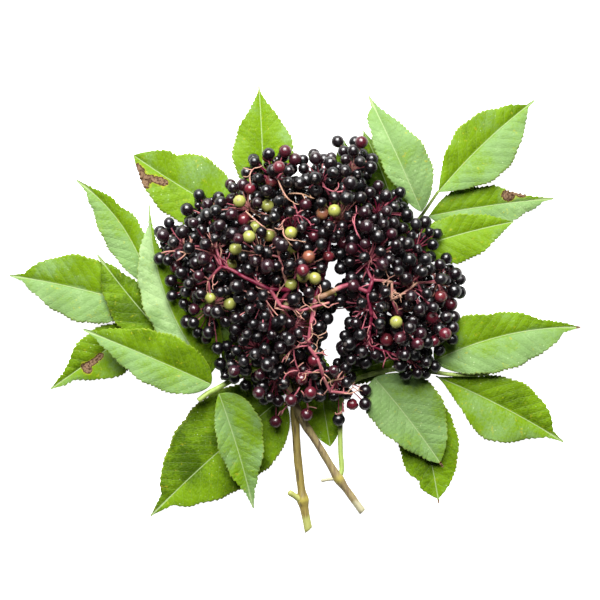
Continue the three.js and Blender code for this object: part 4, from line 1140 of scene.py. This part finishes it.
# A tube with radius r (1 + furrows) plus a Gaussian swelling at each node, and a flat or slanted cut end.
def makeStem(node, stem, material):
    route = stemLook["comesFrom"].get(node, []) + stem["route"] + stemLook["reachesTo"].get(node, [])
    route = smoothRoute(route, stemLook["spanSteps"])
    step = np.concatenate([[0], np.cumsum(np.linalg.norm(np.diff(route, axis=0), axis=1))])
    count = int(step[-1] / stemLook["ringStep"])
    s = np.linspace(0, step[-1], count)
    path = np.stack([np.interp(s, step, route[:, axis]) for axis in range(3)], -1)
    inward = (path[1] - path[0]) / np.linalg.norm(path[1] - path[0])
    rounding = np.array(stemLook["rounding"])
    path = np.concatenate([path[0] - inward * rounding[:, None], path])
    s = np.concatenate([-rounding, s])
    radius = np.full(len(s), float(stem["radius"]))
    radius *= 1 + sum(height * np.sin(often * s + shift) for height, often, shift in stemLook["uneven"])
    radius *= 1 + (stemLook["finerEnd"].get(node, 1.0) - 1) * smooth(0.5, 1, s / s[-1])
    for at, reach, extra in stemLook["swellings"].get(node, []):
        radius += extra * np.exp(-((s - at) / reach) ** 2)
    radius[:2] *= (0.8, 0.95)
    radius[-1] *= 0.8
    sides = stemLook["sides"]
    points = bundlePoints(path[None], radius[None], sides)[0]
    body = points[1:-1].reshape(len(s), sides, 3)
    angle = np.arange(sides) * 2 * np.pi / sides
    furrow = stemLook["furrow"] * (np.sin(5 * angle + 0.03 * s[:, None]) + 0.5 * np.sin(9 * angle))
    body += (body - path[:, None]) * furrow[..., None]
    slope = stemLook["cutSlope"].get(node, 0.0) * np.exp(-np.maximum(s, 0) / 2.0)[:, None]
    tangent = (path[3] - path[2]) / np.linalg.norm(path[3] - path[2])
    shift = slope * (body[..., 0] - path[:, None, 0])
    body += shift[..., None] * tangent
    body[..., 2] = np.maximum(body[..., 2], stemLook["lowest"])
    points[1:-1] = body.reshape(-1, 3)
    quads, triangles = bundleFaces(1, len(s), sides)
    rind = np.concatenate([[0.0], np.where(s < 0, 0.9, 1.0).repeat(sides), [1.0]])
    along = np.concatenate([[0.0], s.repeat(sides), [s[-1]]])
    if node in stemLook["stubs"]:
        stub, stubQuads, stubTriangles = makeStub(*stemLook["stubs"][node])
        quads = np.concatenate([quads, stubQuads + len(points)])
        triangles = np.concatenate([triangles, stubTriangles + len(points)])
        points = np.concatenate([points, stub])
        rind = np.concatenate([rind, np.ones(len(stub))])
        along = np.concatenate([along, np.zeros(len(stub))])
    ring = np.zeros(len(along))
    for at, reach, extra in stemLook["swellings"].get(node, []):
        isRinged = extra > stemLook["ringedFrom"]
        ring = np.maximum(ring, isRinged * np.exp(-((along - at) / (0.45 * reach)) ** 2))
    piece = makePiece(node + "_bark", points, quads, triangles, material,
                      [("alongStem", along), ("rind", rind), ("ring", ring)])
    standFor(piece, node)


# Bark or green skin: long streaks, corky pores, rings at the nodes, its own colour near the cut, and pith
# on the cut itself.
def buildStemGroup():
    colours = dict.fromkeys(("Base", "Streak", "Pore", "Cut"), "Color")
    tree, given, result = newGroup("stemSkin", {**colours, "PoreAmount": "Float"},
                                   {"Colour": "Color", "Height": "Float"})
    place = wire(tree, "ShaderNodeTexCoord").outputs["Object"]
    stretch = (1.0, stemLook["streakLength"], 1.0)
    longWays = wire(tree, "ShaderNodeMapping", {"Vector": place, "Scale": stretch}).outputs[0]
    streaks = noise(tree, longWays, stemLook["streakScale"], 4.0, 0.6)
    colour = mixColour(tree, mapRange(tree, streaks, 0.35, 0.68), given["Base"], given["Streak"])
    cells = wire(tree, "ShaderNodeTexVoronoi", {"Vector": longWays, "Scale": stemLook["poreScale"]})
    spots = mapRange(tree, cells.outputs["Distance"], 0.22, 0.1)
    pores = maths(tree, "MULTIPLY", spots, given["PoreAmount"])
    colour = mixColour(tree, pores, colour, given["Pore"])
    along = maths(tree, "MULTIPLY_ADD", streaks, 5.0, attribute(tree, "alongStem"))
    colour = mixColour(tree, mapRange(tree, along, 11.0, 8.0, 0.0, 0.85), colour, given["Cut"])
    ring = maths(tree, "MULTIPLY", attribute(tree, "ring"), mapRange(tree, streaks, 0.3, 0.5, 0.3, 0.8))
    colour = mixColour(tree, ring, colour, stemLook["ringColour"])
    colour = mixColour(tree, mapRange(tree, attribute(tree, "rind"), 0.97, 0.85), colour, stemLook["pith"])
    tree.links.new(colour, result["Colour"])
    tree.links.new(maths(tree, "MULTIPLY_ADD", pores, 0.8, streaks), result["Height"])
    return tree


def buildStemMaterial(name, group, finish):
    material, tree, surface = newMaterial(name)
    skin = useGroup(tree, group, finish)
    finishSkin(tree, surface, stemLook, skin["Colour"], stemLook["roughness"], skin["Height"])
    return material


stemGroup = buildStemGroup()
stemMaterials = {name: buildStemMaterial(name, stemGroup, finish) for name, finish in stemFinishes.items()}
for node, stem in stems.items():
    finish = stemMaterials[stemLook["finish"].get(node, "greenStalk")]
    makeStem(node, stem, finish)
print("stems made:", len(stems))


# Rays and bare twigs.
rayLook = {
    "seed": 11, "sides": 8, "steps": 7, "overlap": 0.4, "bow": 0.25, "endSize": 0.72,
    "twigsPerFork": 3, "twigLength": (3.5, 8.0), "twigRadius": 0.32, "twigTone": (0.1, 0.45),
    "tips": 2, "tipLength": (2.5, 5.5), "tipSize": 0.72, "tipSpread": 0.75,
    "barePoints": [3, 5, 6], "bareSize": 0.85,      # where a bare twig forks again, and how thick that is
    "usualTone": 0.02, "toneFade": 0.6,             # a ray takes its own tone over this part of its length
    "bareFrom": 1.04,                               # mm; thicker rays carry no twigs
    "mottle": {"Scale": 260.0, "Low": -0.1, "High": 0.1}, "grain": {"Scale": 1500.0, "Roughness": 0.55},
    "roughness": 0.38, "specular": 0.2,
    "bumpStrength": 0.3, "bumpDepth": 0.0002,
    "crimson": (0.10, 0.004, 0.02), "pink": (0.34, 0.09, 0.115), "tan": (0.42, 0.24, 0.165),
    "olive": (0.13, 0.075, 0.03),
}
# Tone of each ray, from 0 crimson over 0.4 pink and 0.7 tan to 1 olive.
rayTones = {
    leftUmbel: {"eastA": 0.36, "eastB": 0.42, "eastC": 0.42, "westNorth": 0.3, "westSouth": 0.35,
                "northA": 0.55, "northB": 0.68, "northC": 0.65},
    rightUmbel: {"eastA": 0.95, "eastB": 0.1, "loopA": 0.6, "loopB": 0.65, "farEast": 0.62, "southA": 0.3,
                 "southB": 0.35, "southC": 0.36, "southD": 0.38, "southE": 0.4, "southF": 0.4},
}


# Ray skin: a band of colours read by the tone, and blotched.
def buildRayMaterial():
    material, tree, surface = newMaterial("rayCrimson")
    mottle = useGroup(tree, mottleGroup, rayLook["mottle"])
    shade = maths(tree, "ADD", attribute(tree, "tone"), mottle["Shift"])
    stops = [(0.0, "crimson"), (0.4, "pink"), (0.7, "tan"), (1.0, "olive")]
    colour = colourRamp(tree, shade, stops, rayLook)
    grain = useGroup(tree, grainGroup, rayLook["grain"])["Grain"]
    finishSkin(tree, surface, rayLook, colour, rayLook["roughness"], grain)
    return material


# A bare twig: a thin bowed tube with a knob where its berry has dropped off. Returns where it ends.
def addTwig(paths, radii, origin, way, long, thick, draw):
    t = np.linspace(0, 1, rayLook["steps"])
    end = way / np.linalg.norm(way) * long
    bend = (draw.normal(0, 0.5, 3) + (0, 0, 0.5)) * (4 * t * (1 - t))[:, None]
    paths.append(origin + end * t[:, None] + bend)
    knob = 1 + 0.9 * np.exp(-((t - 0.95) / 0.08) ** 2)
    radii.append(rayLook["twigRadius"] * thick * (1.2 - 0.4 * t) * knob * np.where(t == 1, 0.6, 1.0))
    return origin + end


# Rays are tapering tubes, a little bowed, that run a short way past each fork so that they join.
def makeRays(node, umbel, material, draw):
    paths, radii, tones = [], [], []
    t = np.linspace(0, 1, rayLook["steps"])[:, None]
    isEnd = (t[:, 0] == 0) | (t[:, 0] == 1)
    swell = 1 + 0.25 * np.exp(-((t[:, 0] - 1) / 0.12) ** 2) + 0.12 * np.exp(-(t[:, 0] / 0.12) ** 2)
    for name, (parent, place, radius, isOpen) in umbel.items():
        if not parent:
            continue
        start, end = np.array(umbel[parent][1], float), np.array(place, float)
        along = (end - start) / np.linalg.norm(end - start)
        bow = draw.normal(0, rayLook["bow"], 3) * 4 * t * (1 - t)
        overlap = along * rayLook["overlap"]
        paths.append(start - overlap + (end - start + 2 * overlap) * t + bow)
        fromRadius = max(radius, min(umbel[parent][2], radius * 1.35))
        taper = fromRadius + (radius - fromRadius) * t[:, 0]
        radii.append(taper * swell * np.where(isEnd, rayLook["endSize"], 1.0))
        ownTone = rayTones[node].get(name, rayLook["usualTone"])
        fromTone = rayTones[node].get(parent, rayLook["usualTone"]) if umbel[parent][0] else ownTone
        tones.append((fromTone, ownTone))
        for _ in range(rayLook["twigsPerFork"] if isOpen and radius < rayLook["bareFrom"] else 0):
            origin = start + (end - start) * draw.uniform(0.3, 1.0)
            way = draw.normal(0, 1, 3) * (1, 1, 0.3) + along * 0.9
            tone = np.clip(ownTone + draw.uniform(*rayLook["twigTone"]), 0, 0.68)
            fork = addTwig(paths, radii, origin, way, draw.uniform(*rayLook["twigLength"]), 1.0, draw)
            for _ in range(rayLook["tips"]):
                aside = draw.normal(0, rayLook["tipSpread"], 3) * (1, 1, 0.4)
                onward = way / np.linalg.norm(way) + aside
                tipLength = draw.uniform(*rayLook["tipLength"])
                addTwig(paths, radii, fork, onward, tipLength, rayLook["tipSize"], draw)
            tones += [(tone, tone)] * (1 + rayLook["tips"])
    for start, middle, end, tone in bareTwigs if node == leftUmbel else []:
        start, middle, end = (np.array(place, float) for place in (start, middle, end))
        control = 2 * middle - (start + end) / 2
        path = start * (1 - t) ** 2 + control * 2 * t * (1 - t) + end * t ** 2
        paths.append(path)
        radii.append(rayTwigRadius * (1.1 - 0.3 * t[:, 0]) * np.where(isEnd, 0.7, 1.0))
        tones.append((tone, tone))
        for origin in path[rayLook["barePoints"]]:
            way = draw.normal(0, 1, 3) * (1, 1, 0.3) + (end - start) / np.linalg.norm(end - start)
            tipLength = draw.uniform(*rayLook["tipLength"])
            addTwig(paths, radii, origin, way, tipLength, rayLook["bareSize"], draw)
            tones.append((min(tone + draw.uniform(0, 0.25), 0.85),) * 2)
    points = bundlePoints(np.array(paths), np.array(radii), rayLook["sides"])
    quads, triangles = bundleFaces(len(paths), rayLook["steps"], rayLook["sides"])
    fromTones, ownTones = np.array(tones).T[:, :, None]
    fade = np.clip(t[:, 0] / rayLook["toneFade"], 0, 1)
    fade = np.concatenate([[0], np.repeat(fade, rayLook["sides"]), [1]])
    piece = makePiece(node + "_rays", points, quads, triangles, material,
                      [("tone", (fromTones + (ownTones - fromTones) * fade).ravel())])
    standFor(piece, node)


rayMaterial = buildRayMaterial()
draw = np.random.default_rng(rayLook["seed"])
for node, umbel in umbels.items():
    makeRays(node, umbel, rayMaterial, draw)
print("rays made:", len(umbels))


# Berries.
berryLook = {
    "seed": 23, "nearlyRipe": 0.14,                 # share of the ripe berries that are still purple
    "sides": 10, "polar": (10.0, 32.0, 58.0, 84.0, 110.0, 136.0, 160.0), "grow": 1.02,
    "stalkSides": 5, "stalkTaper": np.array([1.3, 1.1, 1.0, 0.95, 1.0, 1.25]), "stalkSize": 0.85,
    "sprayTaper": np.array([0.8, 1.05, 0.95, 0.9, 0.95, 0.9]), "sprayBow": 0.5,
    "outward": 1.8, "droop": 0.8, "seat": 0.85, "dent": 0.24,
    # tone of the thin stalks, as for rays, and how much paler those of green berries are
    "stalkTone": (0.05, 0.5), "toneSpread": 0.12, "greenBelow": 0.4, "greenTone": 0.35,
    "mottle": {"Scale": 350.0, "Low": -0.05, "High": 0.03}, "grain": {"Scale": 1500.0, "Roughness": 0.55},
    "calyxScale": 1800.0, "calyxTint": 0.75,
    "roughness": (0.23, 0.36), "specular": 0.68, "bloom": 0.035, "bumpStrength": 0.16, "bumpDepth": 0.0003,
    "green": (0.29, 0.31, 0.065), "orange": (0.25, 0.09, 0.045), "red": (0.105, 0.007, 0.016),
    "purple": (0.018, 0.003, 0.007), "black": (0.0018, 0.0014, 0.002),
    "calyx": (0.09, 0.07, 0.06), "shrivelled": 0.1,
    "bloomCool": (0.30, 0.42, 0.42), "bloomWarm": (0.42, 0.30, 0.36),
}


# Each berry's ripeness: nearly ripe by chance, and the spots' own.
def ripenessOfBerries(draw):
    count = len(berryPlaces)
    ripeness = np.where(draw.random(count) < berryLook["nearlyRipe"], draw.uniform(0.74, 0.9, count),
                        draw.uniform(0.93, 1.0, count))
    for number, value in spots:
        ripeness[number] = np.clip(value + draw.uniform(-0.03, 0.05), 0, 1)
    return ripeness


# Berry skin: a band of colours read by ripeness, a scar where the flower was, and a thin dust of bloom.
def buildBerryMaterial():
    material, tree, surface = newMaterial("berrySkin")
    ripeness, polar = attribute(tree, "ripeness"), attribute(tree, "polar")
    place = wire(tree, "ShaderNodeTexCoord").outputs["Object"]
    mottle = useGroup(tree, mottleGroup, berryLook["mottle"])
    cloud, fine = mottle["Level"], useGroup(tree, grainGroup, berryLook["grain"])["Grain"]
    shade = maths(tree, "ADD", ripeness, mottle["Shift"])
    stops = [(0.0, "green"), (0.25, "orange"), (0.5, "red"), (0.75, "purple"), (0.97, "black")]
    colour = colourRamp(tree, shade, stops, berryLook)
    crumbs = mapRange(tree, noise(tree, place, berryLook["calyxScale"]), 0.35, 0.6)
    scar = maths(tree, "MULTIPLY", mapRange(tree, polar, 0.36, 0.2), crumbs)
    scarTint = maths(tree, "MULTIPLY", scar, berryLook["calyxTint"])
    colour = mixColour(tree, scarTint, colour, berryLook["calyx"])
    kind = mapRange(tree, attribute(tree, "bloomKind"), 0.3, 0.7)
    dust = mixColour(tree, kind, berryLook["bloomCool"], berryLook["bloomWarm"])
    bloom = mapRange(tree, cloud, 0.4, 0.7, 0.0, berryLook["bloom"])
    bloom = maths(tree, "MULTIPLY", bloom, attribute(tree, "bloomAmount"))
    colour = mixColour(tree, bloom, colour, dust)
    rough = mapRange(tree, cloud, 0.35, 0.7, *berryLook["roughness"])
    roughness = maths(tree, "MULTIPLY_ADD", scar, 0.4, rough)
    height = maths(tree, "MULTIPLY_ADD", scar, 1.5, fine)
    finishSkin(tree, surface, berryLook, colour, roughness, height)
    return material


# Berries are spheres of rings about the way each one hangs; a shrivelled one has its points pushed in.
def makeBerries(label, mine, hang, ripeness, skin, draw):
    places, radii = berryPlaces[mine], berryRadii[mine]
    theta = np.radians(berryLook["polar"])[::-1]
    size = radii * berryLook["grow"]
    wrinkle = draw.random(len(mine)) < berryLook["shrivelled"]
    paths = places[:, None] + hang[:, None] * (np.cos(theta) * 0.98)[None, :, None] * size[:, None, None]
    points = bundlePoints(paths, np.sin(theta)[None] * size[:, None], berryLook["sides"])
    points[:, 0] = places - hang * size[:, None]
    points[:, -1] = places + hang * size[:, None] * 0.93
    dents = 1 - berryLook["dent"] * draw.random(points.shape[:2]) * wrinkle[:, None]
    points = places[:, None] + (points - places[:, None]) * dents[..., None]
    quads, triangles = bundleFaces(len(mine), len(theta), berryLook["sides"])
    polar = np.concatenate([[np.pi], theta.repeat(berryLook["sides"]), [0.0]])
    each = [("ripeness", ripeness[mine]), ("bloomKind", draw.random(len(mine))),
            ("bloomAmount", draw.random(len(mine)) ** 2)]
    values = [(name, np.repeat(value, points.shape[1])) for name, value in each]
    values.append(("polar", np.tile(polar, len(mine))))
    standFor(makePiece(label + "_berries", points, quads, triangles, skin, values), label)


# A spray: its berries, the thin stalk that bends out of the junction to each, and the stalk to the fork.
def makeSpray(number, ripeness, skin, thread, draw):
    mine = np.nonzero(berryOwners == number)[0]
    _, junction, back, _ = junctions[number]
    places, radii = berryPlaces[mine], berryRadii[mine]
    control = junction + (places - junction) * 0.5 - back * berryLook["outward"]
    hang = places - control + np.array([0, 0, -berryLook["droop"]])
    hang /= np.linalg.norm(hang, axis=1, keepdims=True)
    label = f"berry_spray_{number + 1:02d}"
    makeBerries(label, mine, hang, ripeness, skin, draw)
    steps, sides = len(berryLook["stalkTaper"]), berryLook["stalkSides"]
    t = np.linspace(0, 1, steps)[None, :, None]
    ends = places - hang * (radii * berryLook["seat"])[:, None]
    bends = junction * (1 - t) ** 2 + control[:, None] * 2 * t * (1 - t) + ends[:, None] * t ** 2
    thin = np.full((len(mine), steps), pedicelRadius * berryLook["stalkSize"]) * berryLook["stalkTaper"]
    fork = forkPlace(*sprays[number][2:])
    rise = np.array([0, 0, berryLook["sprayBow"]]) * 4 * t[0] * (1 - t[0])
    stalk = fork + (junction - fork) * t[0] + rise
    thick = packing["sprayStalkRadius"] * berryLook["sprayTaper"]
    paths = np.concatenate([bends, stalk[None]])
    points = bundlePoints(paths, np.concatenate([thin, thick[None]]), sides)
    quads, triangles = bundleFaces(len(paths), steps, sides)
    base = draw.uniform(*berryLook["stalkTone"])
    paler = berryLook["greenTone"] * (ripeness[mine] < berryLook["greenBelow"])
    tones = np.clip(base + draw.normal(0, berryLook["toneSpread"], len(mine)) + paler, 0, 0.8)
    piece = makePiece(label + "_stalks", points, quads, triangles, thread,
                      [("tone", np.repeat(np.append(tones, base), points.shape[1]))])
    standFor(piece, label)


berryMaterial = buildBerryMaterial()
draw = np.random.default_rng(berryLook["seed"])
ripeness = ripenessOfBerries(draw)
for number in range(len(sprays)):
    makeSpray(number, ripeness, berryMaterial, rayMaterial, draw)
print("sprays made:", len(sprays))
